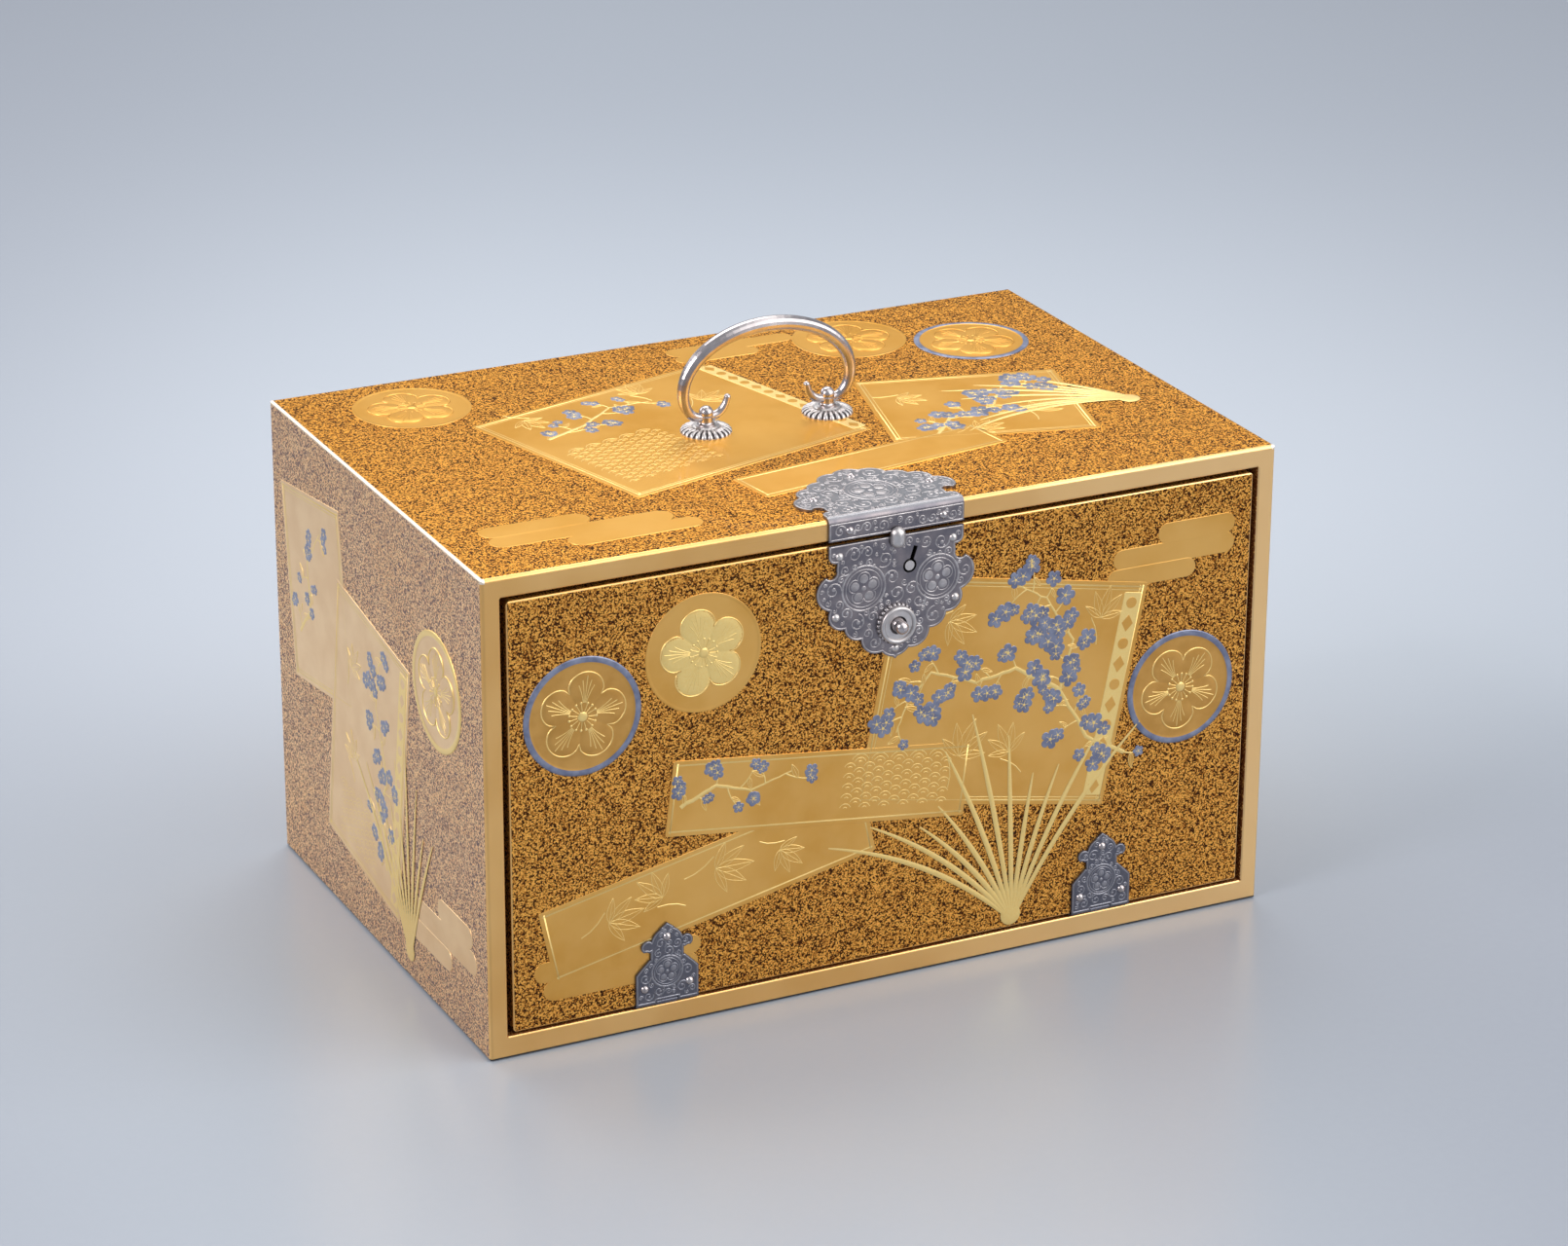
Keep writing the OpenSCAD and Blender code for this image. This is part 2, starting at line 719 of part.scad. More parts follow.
// A flower that is flat inside land_r and slopes down to a low rim, with a groove between
// its petals if grooved
module rosette(r, h, hole_r, land_r, petals, grooved) {
    rim_h = 0.35 * h;
    slope = (h - rim_h) / (r - land_r);
    groove_r = 0.1 * h + 0.02 * r;
    difference() {
        intersection() {
            linear_extrude(h) flower(r, petals);
            rotate_extrude() polygon([[0, 0], [r + rim_reach, 0], [r + rim_reach, rim_h - rim_reach * slope],
                [land_r, h], [0, h]]);
        }
        translate([0, 0, -cut]) cylinder(r = hole_r, h = h + 2 * cut);
        if (grooved) for (i = [0 : petals - 1])
            rotate((i + 0.5) * 360 / petals) translate([land_r, 0, h + 0.6 * groove_r])
                rotate([0, 90 + atan(slope), 0]) cylinder(r = groove_r, h = r);
    }
}

module button_rosette() {
    color(bright_silver) on_front(lock_x, button_z, front_y - plate_t)
        rosette(button_rosette_r, button_rosette_h, collar_foot_r + fit_play, collar_r, button_petals, false);
}

// A turned ring: a foot in the rosette's hole, a flange on the rosette and a round bead
module button_collar() {
    bead_r = (collar_h - button_rosette_h) / 2;
    color(bright_silver) on_front(lock_x, button_z, front_y - plate_t) rotate_extrude() {
        translate([skirt_hole_r, 0]) square([collar_foot_r - skirt_hole_r, collar_h - bead_r]);
        translate([skirt_hole_r, button_rosette_h])
            square([collar_r - bead_r - skirt_hole_r, bead_r]);
        translate([collar_r - bead_r, button_rosette_h + bead_r]) circle(bead_r);
    }
}

// The button: a tail in the spring, a flange behind the lock case's front wall, a shaft,
// a tapered skirt in the collar and a ball
module push_button() {
    color(bright_silver) on_front(lock_x, button_z) rotate_extrude() {
        translate([0, flange_z - tail_len]) square([tail_r, tail_len]);
        translate([0, flange_z]) square([flange_r, flange_t]);
        translate([0, flange_z]) square([button_r, skirt_z - flange_z]);
        polygon([[0, skirt_z], [skirt_r, skirt_z], [skirt_r, skirt_z + 0.3],
            [0.6 * button_ball_r, ball_out], [0, ball_out]]);
        intersection() {
            translate([0, ball_out]) circle(button_ball_r);
            translate([0, ball_out - button_ball_r]) square([button_ball_r, 2 * button_ball_r]);
        }
    }
}

// A coil spring between the button's flange and the lock cover
module button_spring() {
    low = -door_t + lock_metal_t + spring_wire / 2 + spring_seat;
    high = flange_z - spring_wire / 2 - spring_seat;
    path = [for (i = [0 : spring_turns * coil_steps])
        let (a = 360 * i / coil_steps)
        [coil_r * cos(a), coil_r * sin(a), low + (high - low) * i / (spring_turns * coil_steps)]];
    color(bright_silver) on_front(lock_x, button_z) tube(path, spring_wire / 2, wire_sides);
}

// A round wire along any path whose points lie round the Z axis
module tube(path, r, sides) {
    last = len(path) - 1;
    points = [for (p = path) let (out = [p[0], p[1], 0] / norm([p[0], p[1]]))
        for (j = [0 : sides - 1])
            let (a = 360 * j / sides) p + r * cos(a) * out + r * sin(a) * [0, 0, 1]];
    sweep_faces(points, last, sides);
}

// The closed solid whose rings of points follow each other, wound for a path that turns
// about +Z counterclockwise
module sweep_faces(points, last, sides) {
    polyhedron(points, concat(
        [[for (j = [0 : sides - 1]) j]],
        [for (k = [0 : last - 1], j = [0 : sides - 1]) let (n = (j + 1) % sides)
            [k * sides + n, k * sides + j, (k + 1) * sides + j, (k + 1) * sides + n]],
        [[for (j = [sides - 1 : -1 : 0]) last * sides + j]]));
}

// Lock works

module lock_case_room() {
    block([lock_x - lock_case_w / 2, lock_case_y, lock_case_low_z],
        [lock_x + lock_case_w / 2, door_back_y + cut, lock_case_high_z]);
}

module lock_case() {
    wall = lock_metal_t;
    color(dark_silver) {
        difference() {
            block([lock_x - lock_case_w / 2, lock_case_y, lock_case_low_z],
                [lock_x + lock_case_w / 2, cover_y, lock_case_high_z]);
            block([lock_x - lock_case_w / 2 + wall, lock_room_y, lock_case_low_z + wall],
                [lock_x + lock_case_w / 2 - wall, cover_y + cut, lock_case_high_z - wall]);
            bolt_room(lock_case_high_z - wall - cut, lock_case_high_z + cut);
            key_and_button_holes();
        }
        on_front(bolt_x, guide_z, bolt_y + bolt_t) cylinder(r = guide_r, h = bolt_y + bolt_t - lock_case_y);
    }
}

// What the key and the button pass through in the door and in the lock case
module key_and_button_holes() {
    on_front(key_x, key_z, lock_room_y + cut / 2)
        linear_extrude(lock_room_y - front_y + cut) keyhole();
    on_front(lock_x, button_z, lock_room_y + cut / 2)
        cylinder(r = button_hole_r, h = lock_room_y - front_y + cut);
}

module cover_form(extra) {
    block([lock_x - lock_case_w / 2 - cover_margin, cover_y, lock_case_low_z - cover_margin],
        [lock_x + lock_case_w / 2 + cover_margin, door_back_y + extra, lock_case_high_z + cover_margin]);
}

module lock_cover() {
    color(dark_silver) cover_form(0);
}

// The pin that a hollow key turns on, fixed to the cover
module key_pin() {
    color(bright_silver) on_front(key_x, key_z, cover_y)
        cylinder(r = key_pin_r, h = cover_y - front_y + plate_t);
}

// The bolt, with its guide slot and the round notch that the key's bit pushes
module lock_bolt() {
    slot_r = guide_r + slide_gap;
    color(dark_silver) difference() {
        block([bolt_x - bolt_w / 2, bolt_y, bolt_low_z], [bolt_x + bolt_w / 2, bolt_y + bolt_t, bolt_high_z]);
        on_front(bolt_x, guide_z, bolt_y + bolt_t + cut) {
            cylinder(r = slot_r, h = bolt_t + 2 * cut);
            translate([0, -bolt_travel, 0]) cylinder(r = slot_r, h = bolt_t + 2 * cut);
            translate([-slot_r, -bolt_travel, 0]) cube([2 * slot_r, bolt_travel, bolt_t + 2 * cut]);
        }
        on_front(bolt_x + bolt_w / 2 + 0.3 * talon_r, key_z - talon_r, bolt_y + bolt_t + cut)
            cylinder(r = talon_r, h = bolt_t + 2 * cut);
    }
}

// Door

// A rectangle with two round corners on its low u side
module front_profile(u, v, r) {
    translate([u[0] + r, v[0]]) square([u[1] - u[0] - r, v[1] - v[0]]);
    translate([u[0], v[0] + r]) square([r, v[1] - v[0] - 2 * r]);
    for (w = [v[0] + r, v[1] - r]) translate([u[0] + r, w]) circle(r);
}

// A board with rounded front edges and, seen from the front, rounded corners
module front_board(low, high, edge_r, corner_r) {
    size = high - low;
    intersection() {
        translate([low[0], 0, 0]) rotate([90, 0, 90])
            linear_extrude(size[0]) front_profile([low[1], high[1]], [low[2], high[2]], edge_r);
        translate([0, 0, low[2]]) mirror([1, -1, 0])
            linear_extrude(size[2]) front_profile([low[1], high[1]], [low[0], high[0]], edge_r);
        translate([low[0] + size[0] / 2, high[1], low[2] + size[2] / 2]) rotate([90, 0, 0])
            linear_extrude(size[1]) rounded_rect(size[0], size[2], corner_r);
    }
}

module door_panel() {
    color(gold_lacquer) difference() {
        front_board([-door_w / 2, front_y, door_low_z], [door_w / 2, door_back_y, door_high_z],
            door_edge_r, door_corner_r);
        barrel_room();
        lock_case_room();
        cover_form(cut);
        bolt_room(lock_case_high_z - cut, door_high_z + cut);
        translate([0, -cut, 0]) key_and_button_holes();
        at_lock_rivets(0) rivet_hole(0);
        at_leaf_rivets(0) rivet_hole(0);
        on_front(lock_x, stud_neck_z) rivet_hole(0);
    }
}

// Hinges

// The outline of a door leaf, from the hinge line at y = 0 to its tip at y = leaf_h
module leaf_outline() {
    w = leaf_half_w;
    h = leaf_h;
    difference() {
        union() {
            translate([-w, 0]) square([2 * w, 0.388 * h]);
            polygon([[-w, 0.388 * h], [-0.906 * w, 0.43 * h], [-0.57 * w, 0.56 * h],
                [0.57 * w, 0.56 * h], [0.906 * w, 0.43 * h], [w, 0.388 * h]]);
            translate([-0.53 * w, 0.4 * h]) square([1.06 * w, 0.35 * h]);
            for (sx = [-1, 1]) translate([sx * 0.62 * w, 0.73 * h]) circle(0.2 * w);
            translate([0, 0.735 * h]) circle(0.52 * w);
            polygon([[-0.25 * w, 0.925 * h], [0, h], [0.25 * w, 0.925 * h]]);
        }
        for (sx = [-1, 1]) translate([sx * 0.68 * w, 0.612 * h]) circle(0.146 * w);
    }
}

// A stretch of hinge barrel without its bore
module knuckle(x_low, x_high) {
    translate([x_low, 0, 0]) rotate([0, 90, 0]) cylinder(r = knuckle_r, h = x_high - x_low);
}

module pin_bore() {
    rotate([0, 90, 0]) cylinder(r = pin_r + pin_play, h = hinge_w + 2 * cut, center = true);
}

// The leaf that shows, with the two outer knuckles. Its foot is open for the middle one.
module door_leaf(sx) {
    gap_half_w = middle_knuckle_w / 2 + knuckle_gap;
    color(dark_silver) difference() {
        union() {
            on_front(sx * hinge_x, hinge_z) linear_extrude(plate_t) leaf_outline();
            translate([sx * hinge_x, hinge_y, hinge_z]) {
                knuckle(-leaf_half_w, -gap_half_w);
                knuckle(gap_half_w, leaf_half_w);
            }
        }
        translate([sx * hinge_x, hinge_y, hinge_z]) {
            pin_bore();
            block([-gap_half_w, -knuckle_clear_r - cut, -knuckle_clear_r],
                [gap_half_w, knuckle_clear_r, knuckle_clear_r]);
        }
        at_leaf_rivets(plate_t) rivet_hole(plate_t);
    }
}

module left_door_leaf() door_leaf(-1);
module right_door_leaf() door_leaf(1);

module door_leaf_rivets() {
    color(bright_silver) at_leaf_rivets(plate_t) rivet(plate_t);
}

// The leaf nailed on the lower rail under the door, with the middle knuckle
module rail_leaf(sx) {
    low_z = bottom_t - hinge_z;
    leaf_y = knuckle_clear_r;
    back = rail_leaf_back_y - hinge_y;
    color(dark_silver) difference() {
        translate([sx * hinge_x, hinge_y, hinge_z]) difference() {
            union() {
                block([-leaf_half_w, leaf_y, low_z], [leaf_half_w, back, low_z + rail_leaf_t]);
                block([-middle_knuckle_w / 2, 0, low_z],
                    [middle_knuckle_w / 2, leaf_y + cut, low_z + rail_leaf_t]);
                block([-middle_knuckle_w / 2, 0, low_z], [middle_knuckle_w / 2, knuckle_r, 0]);
                knuckle(-middle_knuckle_w / 2, middle_knuckle_w / 2);
            }
            pin_bore();
        }
        at_rail_nails() rivet_hole(0);
    }
}

module left_rail_leaf() rail_leaf(-1);
module right_rail_leaf() rail_leaf(1);

module rail_leaf_nails() {
    color(bright_silver) at_rail_nails() translate([0, 0, -shank_len])
        cylinder(r = shank_r, h = shank_len + rail_leaf_t);
}

module hinge_pin(sx) {
    color(bright_silver) translate([sx * hinge_x, hinge_y, hinge_z]) rotate([0, 90, 0])
        cylinder(r = pin_r, h = hinge_w, center = true);
}

module left_hinge_pin() hinge_pin(-1);
module right_hinge_pin() hinge_pin(1);

// Bail handle

// A post turned in one piece: a shank through the top board, a foot on the rosette, a neck
// and a ball, cross drilled for the bail
module bail_post(sx) {
    foot_r = post_foot_r - post_r;
    foot_h = pivot_h - rod_eye_r - rosette_h - 0.05;
    color(bright_silver) translate([sx * post_x, 0, case_h]) difference() {
        rotate_extrude() {
            translate([0, -top_t]) square([post_shank_r, top_t]);
            square([post_r, ball_z]);
            difference() {
                translate([0, rosette_h]) square([post_foot_r, foot_h]);
                translate([post_foot_r, rosette_h + foot_h]) circle(foot_r);
            }
            intersection() {
                translate([0, ball_z]) circle(ball_r);
                translate([0, ball_z - ball_r]) square([ball_r, 2 * ball_r]);
            }
        }
        translate([0, 0, pivot_h]) rotate([0, 90, 0])
            cylinder(r = rod_hole_r, h = 2 * ball_r + 2 * cut, center = true);
    }
}

module left_bail_post() bail_post(-1);
module right_bail_post() bail_post(1);

module bail_rosette(sx) {
    color(bright_silver) translate([sx * post_x, 0, case_h])
        rosette(rosette_r, rosette_h, post_r + fit_play, post_foot_r + 0.3, rosette_petals, true);
}

module left_bail_rosette() bail_rosette(-1);
module right_bail_rosette() bail_rosette(1);

// Washers let in flush under the top board, round the ends of the post shanks
module bail_post_washers() {
    color(dark_silver) at_posts() translate([0, 0, -top_t]) difference() {
        cylinder(r = washer_r - fit_play, h = washer_t);
        translate([0, 0, -cut]) cylinder(r = post_shank_r + fit_play, h = washer_t + 2 * cut);
    }
}

function mix(a, b, t) = a + (b - a) * t;

// The arch of the bail from the right post over the top to the left one, as [x, z, radius]
function bail_arch() = concat(
    [for (i = [0 : bend_steps]) bend_point(1, i)],
    [for (i = [1 : arch_steps - 1]) let (a = 180 * i / arch_steps)
        [bail_half_w * cos(a), bail_waist + (bail_rise - bail_waist) * sin(a),
            mix(rod_side_r, rod_top_r, sin(a))]],
    [for (i = [bend_steps : -1 : 0]) bend_point(-1, i)]);

// A point of the bend between a post and the widest place
function bend_point(sx, i) = let (a = 90 * i / bend_steps, start = post_x + journal_half)
    [sx * (start + (bail_half_w - start) * sin(a)), bail_waist * (1 - cos(a)),
        mix(ring_eye_r, rod_side_r, i / bend_steps)];

// A hooked end inside a post
function bail_hook(sx) = [for (i = [0 : bend_steps]) let (a = hook_turn * i / bend_steps)
    [sx * (post_x - journal_half - hook_w * sin(a)), hook_h * (1 - cos(a)),
        mix(ring_eye_r, rod_tip_r, i / bend_steps)]];

// The unit direction from one point of a path to another
function heading(from, to) = [to[0] - from[0], to[1] - from[1]] / norm([to[0] - from[0], to[1] - from[1]]);

// A round rod whose middle line lies in the XZ plane, with its first and last rings facing
// as start and end say
module rod(path, start, end) {
    last = len(path) - 1;
    points = [for (k = [0 : last])
        let (dir = k == 0 ? start : k == last ? end : heading(path[k - 1], path[k + 1]), r = path[k][2])
        for (j = [0 : bail_sides - 1]) let (a = 360 * j / bail_sides)
            [path[k][0] - r * cos(a) * dir[1], -r * sin(a), path[k][1] + r * cos(a) * dir[0]]];
    sweep_faces(points, last, bail_sides);
}

module bail_handle() {
    color(bright_silver) translate([0, 0, pivot_z]) {
        rod(bail_arch(), [1, 0], [1, 0]);
        for (sx = [-1, 1]) {
            hook = bail_hook(sx);
            tip = hook[bend_steps];
            rod(hook, [-sx, 0], [-sx * cos(hook_turn), sin(hook_turn)]);
            translate([tip[0], 0, tip[1]]) sphere(rod_tip_r);
            translate([sx * post_x, 0, 0]) rotate([0, 90, 0])
                cylinder(r = rod_eye_r, h = 2 * journal_half + 0.6, center = true);
        }
    }
}

// Drawers. Each board takes the drawer as its argument.

module drawer_bottom_form(d) {
    block([d[0] - d[2] / 2 + drawer_wall_t - drawer_lap, drawer_front_y + drawer_front_t - drawer_lap, d[1]],
        [d[0] + d[2] / 2 - drawer_wall_t + drawer_lap, drawer_back_y - drawer_wall_t + drawer_lap,
            d[1] + drawer_bottom_t]);
}

module drawer_side_forms(d) {
    for (sx = [-1, 1]) {
        mid = d[0] + sx * (d[2] - drawer_wall_t) / 2;
        block([mid - drawer_wall_t / 2, drawer_front_y + drawer_front_t - side_lap, d[1]],
            [mid + drawer_wall_t / 2, drawer_back_y, d[1] + d[3]]);
    }
}

module at_knobs(d) {
    for (i = [0 : d[4] - 1])
        on_front(d[0] + (i - (d[4] - 1) / 2) * d[2] / 2, d[1] + d[3] / 2, drawer_front_y) children();
}

module drawer_front(d) {
    color(gold_lacquer) difference() {
        front_board([d[0] - d[2] / 2, drawer_front_y, d[1]],
            [d[0] + d[2] / 2, drawer_front_y + drawer_front_t, d[1] + d[3]], door_edge_r, door_edge_r);
        drawer_side_forms(d);
        drawer_bottom_form(d);
        at_knobs(d) translate([0, 0, -drawer_front_t - cut])
            cylinder(r = knob_neck_r + fit_play, h = drawer_front_t + 2 * cut);
    }
}

module drawer_sides(d) {
    color(inside_lacquer) difference() {
        drawer_side_forms(d);
        drawer_bottom_form(d);
    }
}

module drawer_back(d) {
    color(inside_lacquer) difference() {
        block([d[0] - d[2] / 2 + drawer_wall_t, drawer_back_y - drawer_wall_t, d[1]],
            [d[0] + d[2] / 2 - drawer_wall_t, drawer_back_y, d[1] + d[3]]);
        drawer_bottom_form(d);
    }
}

module drawer_bottom(d) {
    color(inside_lacquer) drawer_bottom_form(d);
}

// A turned knob: base, neck and domed head, with its shank peened over inside the drawer
module drawer_knob(d) {
    dome_r = (knob_r * knob_r + knob_head_h * knob_head_h / 4) / knob_head_h;
    color(bright_silver) at_knobs(d) rotate_extrude() {
        translate([0, -drawer_front_t]) square([knob_neck_r, drawer_front_t + knob_out - knob_head_h / 2]);
        translate([0, -drawer_front_t - peen_h]) square([1.6 * knob_neck_r, peen_h]);
        square([1.9 * knob_neck_r, knob_base_h]);
        polygon([[0, knob_out - knob_head_h], [knob_neck_r, knob_out - knob_head_h],
            [knob_r, knob_out - knob_head_h / 2], [0, knob_out - knob_head_h / 2]]);
        intersection() {
            translate([0, knob_out - dome_r]) circle(dome_r);
            translate([0, knob_out - knob_head_h / 2]) square([knob_r, knob_head_h / 2]);
        }
    }
}

top_board();
bottom_board();
left_side();
right_side();
back_board();
inner_floor();
lower_shelf();
upper_shelf();
upper_divider();
hasp_plate();
hasp_rivets();
strike_plate();
left_rail_leaf();
right_rail_leaf();
rail_leaf_nails();
left_hinge_pin();
right_hinge_pin();
left_bail_post();
right_bail_post();
left_bail_rosette();
right_bail_rosette();
bail_post_washers();
bail_handle();
door_panel();
lock_plate();
lock_plate_rivets();
door_stud();
button_rosette();
button_collar();
lock_case();
lock_cover();
key_pin();
button_spring();
left_door_leaf();
right_door_leaf();
door_leaf_rivets();
lock_bolt();
push_button();
drawer_front(TOP_LEFT);  // top_left_drawer_front
drawer_sides(TOP_LEFT);  // top_left_drawer_sides
drawer_back(TOP_LEFT);  // top_left_drawer_back
drawer_bottom(TOP_LEFT);  // top_left_drawer_bottom
drawer_knob(TOP_LEFT);  // top_left_drawer_knob
drawer_front(TOP_RIGHT);  // top_right_drawer_front
drawer_sides(TOP_RIGHT);  // top_right_drawer_sides
drawer_back(TOP_RIGHT);  // top_right_drawer_back
drawer_bottom(TOP_RIGHT);  // top_right_drawer_bottom
drawer_knob(TOP_RIGHT);  // top_right_drawer_knob
drawer_front(MIDDLE);  // middle_drawer_front
drawer_sides(MIDDLE);  // middle_drawer_sides
drawer_back(MIDDLE);  // middle_drawer_back
drawer_bottom(MIDDLE);  // middle_drawer_bottom
drawer_knob(MIDDLE);  // middle_drawer_knobs
drawer_front(BOTTOM);  // bottom_drawer_front
drawer_sides(BOTTOM);  // bottom_drawer_sides
drawer_back(BOTTOM);  // bottom_drawer_back
drawer_bottom(BOTTOM);  // bottom_drawer_bottom
drawer_knob(BOTTOM);  // bottom_drawer_knobs
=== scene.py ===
import random
from math import atan2, cos, hypot, pi, radians, sin

import bpy
from mathutils import Matrix, Vector


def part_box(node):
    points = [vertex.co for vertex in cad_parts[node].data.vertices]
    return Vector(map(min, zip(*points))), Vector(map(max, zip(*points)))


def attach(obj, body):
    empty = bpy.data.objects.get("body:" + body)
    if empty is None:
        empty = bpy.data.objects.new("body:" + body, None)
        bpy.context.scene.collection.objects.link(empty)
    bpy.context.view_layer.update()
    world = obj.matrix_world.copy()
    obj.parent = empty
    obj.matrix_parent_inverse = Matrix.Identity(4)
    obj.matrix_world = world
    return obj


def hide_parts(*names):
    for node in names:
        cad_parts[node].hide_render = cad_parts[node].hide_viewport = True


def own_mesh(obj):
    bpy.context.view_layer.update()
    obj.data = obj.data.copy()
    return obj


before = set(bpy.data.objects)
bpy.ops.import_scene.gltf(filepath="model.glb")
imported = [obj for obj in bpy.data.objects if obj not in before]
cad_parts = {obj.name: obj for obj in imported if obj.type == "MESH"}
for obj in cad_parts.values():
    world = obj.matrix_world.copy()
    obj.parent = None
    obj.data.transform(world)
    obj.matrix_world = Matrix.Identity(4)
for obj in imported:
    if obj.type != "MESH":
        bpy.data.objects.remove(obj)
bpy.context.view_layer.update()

mm = 0.001

# The view: a long lens on the front left corner, from a little above the chest. It stands
# about 1.5 m away, where the chest's corners fall as they do in the photograph.
scene = bpy.context.scene
lens = bpy.data.cameras.new("view")
lens.lens = 109.3
lens.sensor_width = 36
view_from, view_turn, view_down, view_roll = (-0.6282, -1.2886, 0.6703), 26.22, 22.08, 0.28
camera = bpy.data.objects.new("view", lens)
scene.collection.objects.link(camera)
camera.matrix_world = (
    Matrix.Translation(view_from)
    @ Matrix.Rotation(radians(-view_turn), 4, "Z")
    @ Matrix.Rotation(radians(90 - view_down), 4, "X")
    @ Matrix.Rotation(radians(view_roll), 4, "Z")
)
scene.camera = camera
scene.view_settings.view_transform = "Standard"


# The studio floor: one sheet of pale grey-blue paper that fills the view, a little glossy,
# so that the chest is faintly mirrored in it. Its tone carries painted light and shade.
class Wire:
    """A socket in a material. Sums of wires and numbers add Math nodes, and node() adds any other."""

    def __init__(self, tree, socket=None):
        self.tree, self.socket = tree, socket

    def node(self, kind, sockets={}, out=0, **settings):
        made = self.tree.nodes.new(kind)
        for name, value in settings.items():
            setattr(made, name, value)
        for name, value in sockets.items():
            if isinstance(value, Wire):
                self.tree.links.new(value.socket, made.inputs[name])
            else:
                made.inputs[name].default_value = value
        return Wire(self.tree, made.outputs[out])

    def math(self, operation, *others):
        return self.node("ShaderNodeMath", dict(enumerate((self, *others))), operation=operation)

    def larger(self, other):
        return self.math("MAXIMUM", other)

    def __add__(self, other):
        return self.math("ADD", other)

    def __sub__(self, other):
        return self.math("SUBTRACT", other)

    def __rsub__(self, other):
        return self.node("ShaderNodeMath", {0: other, 1: self}, operation="SUBTRACT")

    def __mul__(self, other):
        return self.math("MULTIPLY", other)

    def __gt__(self, other):
        return self.math("GREATER_THAN", other)

    def __lt__(self, other):
        return self.math("LESS_THAN", other)

    def __abs__(self):
        return self.math("ABSOLUTE")

    __radd__, __rmul__ = __add__, __mul__


def mixed(share, first, second):
    """The first colour where share is 0 and the second where it is 1."""
    first, second = ((*c, 1) if isinstance(c, tuple) else c for c in (first, second))
    return share.node("ShaderNodeMix", {0: share, 6: first, 7: second}, out=2, data_type="RGBA")


def eased(share, first, second):
    """The same for plain values."""
    return (1 - share) * first + share * second


def between(value, low, high, out_low=0.0, out_high=1.0):
    """Value eased from out_low at low to out_high at high."""
    return value.node("ShaderNodeMapRange", {0: value, 1: low, 2: high, 3: out_low, 4: out_high},
                      interpolation_type="SMOOTHSTEP")


def place_of(tree):
    """The point on the object at rest, in metres."""
    return Wire(tree).node("ShaderNodeTexCoord", out=3)


def facing(tree):
    """The way the surface faces on the object at rest."""
    return Wire(tree).node("ShaderNodeTexCoord", out=1)


def parts_of(vector):
    """Its three parts."""
    return [vector.node("ShaderNodeSeparateXYZ", {0: vector}, out=i) for i in range(3)]


def noise(place, size, detail=2.0, out=0):
    """Soft noise whose blotches are about size across, around 0.5."""
    return place.node("ShaderNodeTexNoise", {"Vector": place, "Scale": 1 / size, "Detail": detail}, out=out)


def bump(place, height, strength, depth):
    """Fine unevenness: at a height of 1 the surface stands depth higher."""
    return place.node("ShaderNodeBump", {"Height": height, "Strength": strength, "Distance": depth})


def finish(name, paint, **shader_values):
    """A material whose shader gets plain values here and wires from paint(place, tree)."""
    material = bpy.data.materials.new(name)
    material.use_nodes = True
    tree = material.node_tree
    shader = tree.nodes["Principled BSDF"]
    for socket, value in shader_values.items():
        shader.inputs[socket.replace("_", " ")].default_value = value
    for socket, value in paint(place_of(tree), tree).items():
        tree.links.new(value.socket, shader.inputs[socket])
    return material


def dress(material, *nodes):
    """Gives pieces that are right as built their finish."""
    for node in nodes:
        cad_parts[node].data.materials.clear()
        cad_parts[node].data.materials.append(material)


def paper_with_painted_light(place, tree):
    """A painted pool of light round and behind the chest, painted shade towards the viewer, the far end and
    the corners of the view, and painted shadows of the chest to its right and front left.
    """
    x, y, z = parts_of(place)
    view_x, view_y = 0.442, 0.897
    depth, across = x * view_x + y * view_y, x * view_y - y * view_x
    # Painted light: paler round and behind the chest, darker towards the viewer and the sides of the view.
    share = between(depth, -0.14, 0.24) * (1 - between(abs(across), 0.22, 0.75) * 0.5)
    # Painted shade towards the sides of the view, and painted shadows of the chest on the floor to its
    # right and front left.
    painted_shade = between(across, 0.04, 0.50) * 0.55 + between(across, -0.10, -0.50) * 0.80
    painted_shade = painted_shade + between(across, 0.0, 0.28) * between(depth, 0.22, 0.0) * 0.60
    painted_shade = painted_shade + between(across, -0.05, -0.35) * between(depth, 0.0, -0.35) * 0.60
    # Painted shade towards the far end of the floor.
    far = between(depth, 0.35, 1.0)
    tone = mixed(share, (0.340, 0.380, 0.430), (0.455, 0.500, 0.560))
    tone = mixed(far, tone, (0.325, 0.360, 0.415))
    tone = mixed(painted_shade, tone, (0.265, 0.290, 0.340))
    return {"Base Color": mixed(noise(place, 3 * mm, 3) * 0.04, tone, (0.62, 0.66, 0.70))}


paper_finish = finish("paper_with_painted_light", paper_with_painted_light, Roughness=0.28, Specular_IOR_Level=0.25)
reach = 14
floor_mesh = bpy.data.meshes.new("paper_floor")
floor_corners = [(-reach, -reach, 0), (reach, -reach, 0), (reach, reach, 0), (-reach, reach, 0)]
floor_mesh.from_pydata(floor_corners, [], [(0, 1, 2, 3)])
floor_mesh.materials.append(paper_finish)
floor_sheet = bpy.data.objects.new("paper_floor", floor_mesh)
scene.collection.objects.link(floor_sheet)


# The light: five soft boxes, two over the chest, a wide one at its front right, one at its
# left and one behind it, in a plain grey room that fills the shadows.
def soft_box(name, place, aim, width, depth, power, tone):
    lamp = bpy.data.lights.new(name, "AREA")
    lamp.shape, lamp.size, lamp.size_y = "RECTANGLE", width, depth
    lamp.energy, lamp.color = power, tone
    box = bpy.data.objects.new(name, lamp)
    box.location = place
    box.rotation_euler = (Vector(aim) - Vector(place)).to_track_quat("-Z", "Y").to_euler()
    scene.collection.objects.link(box)


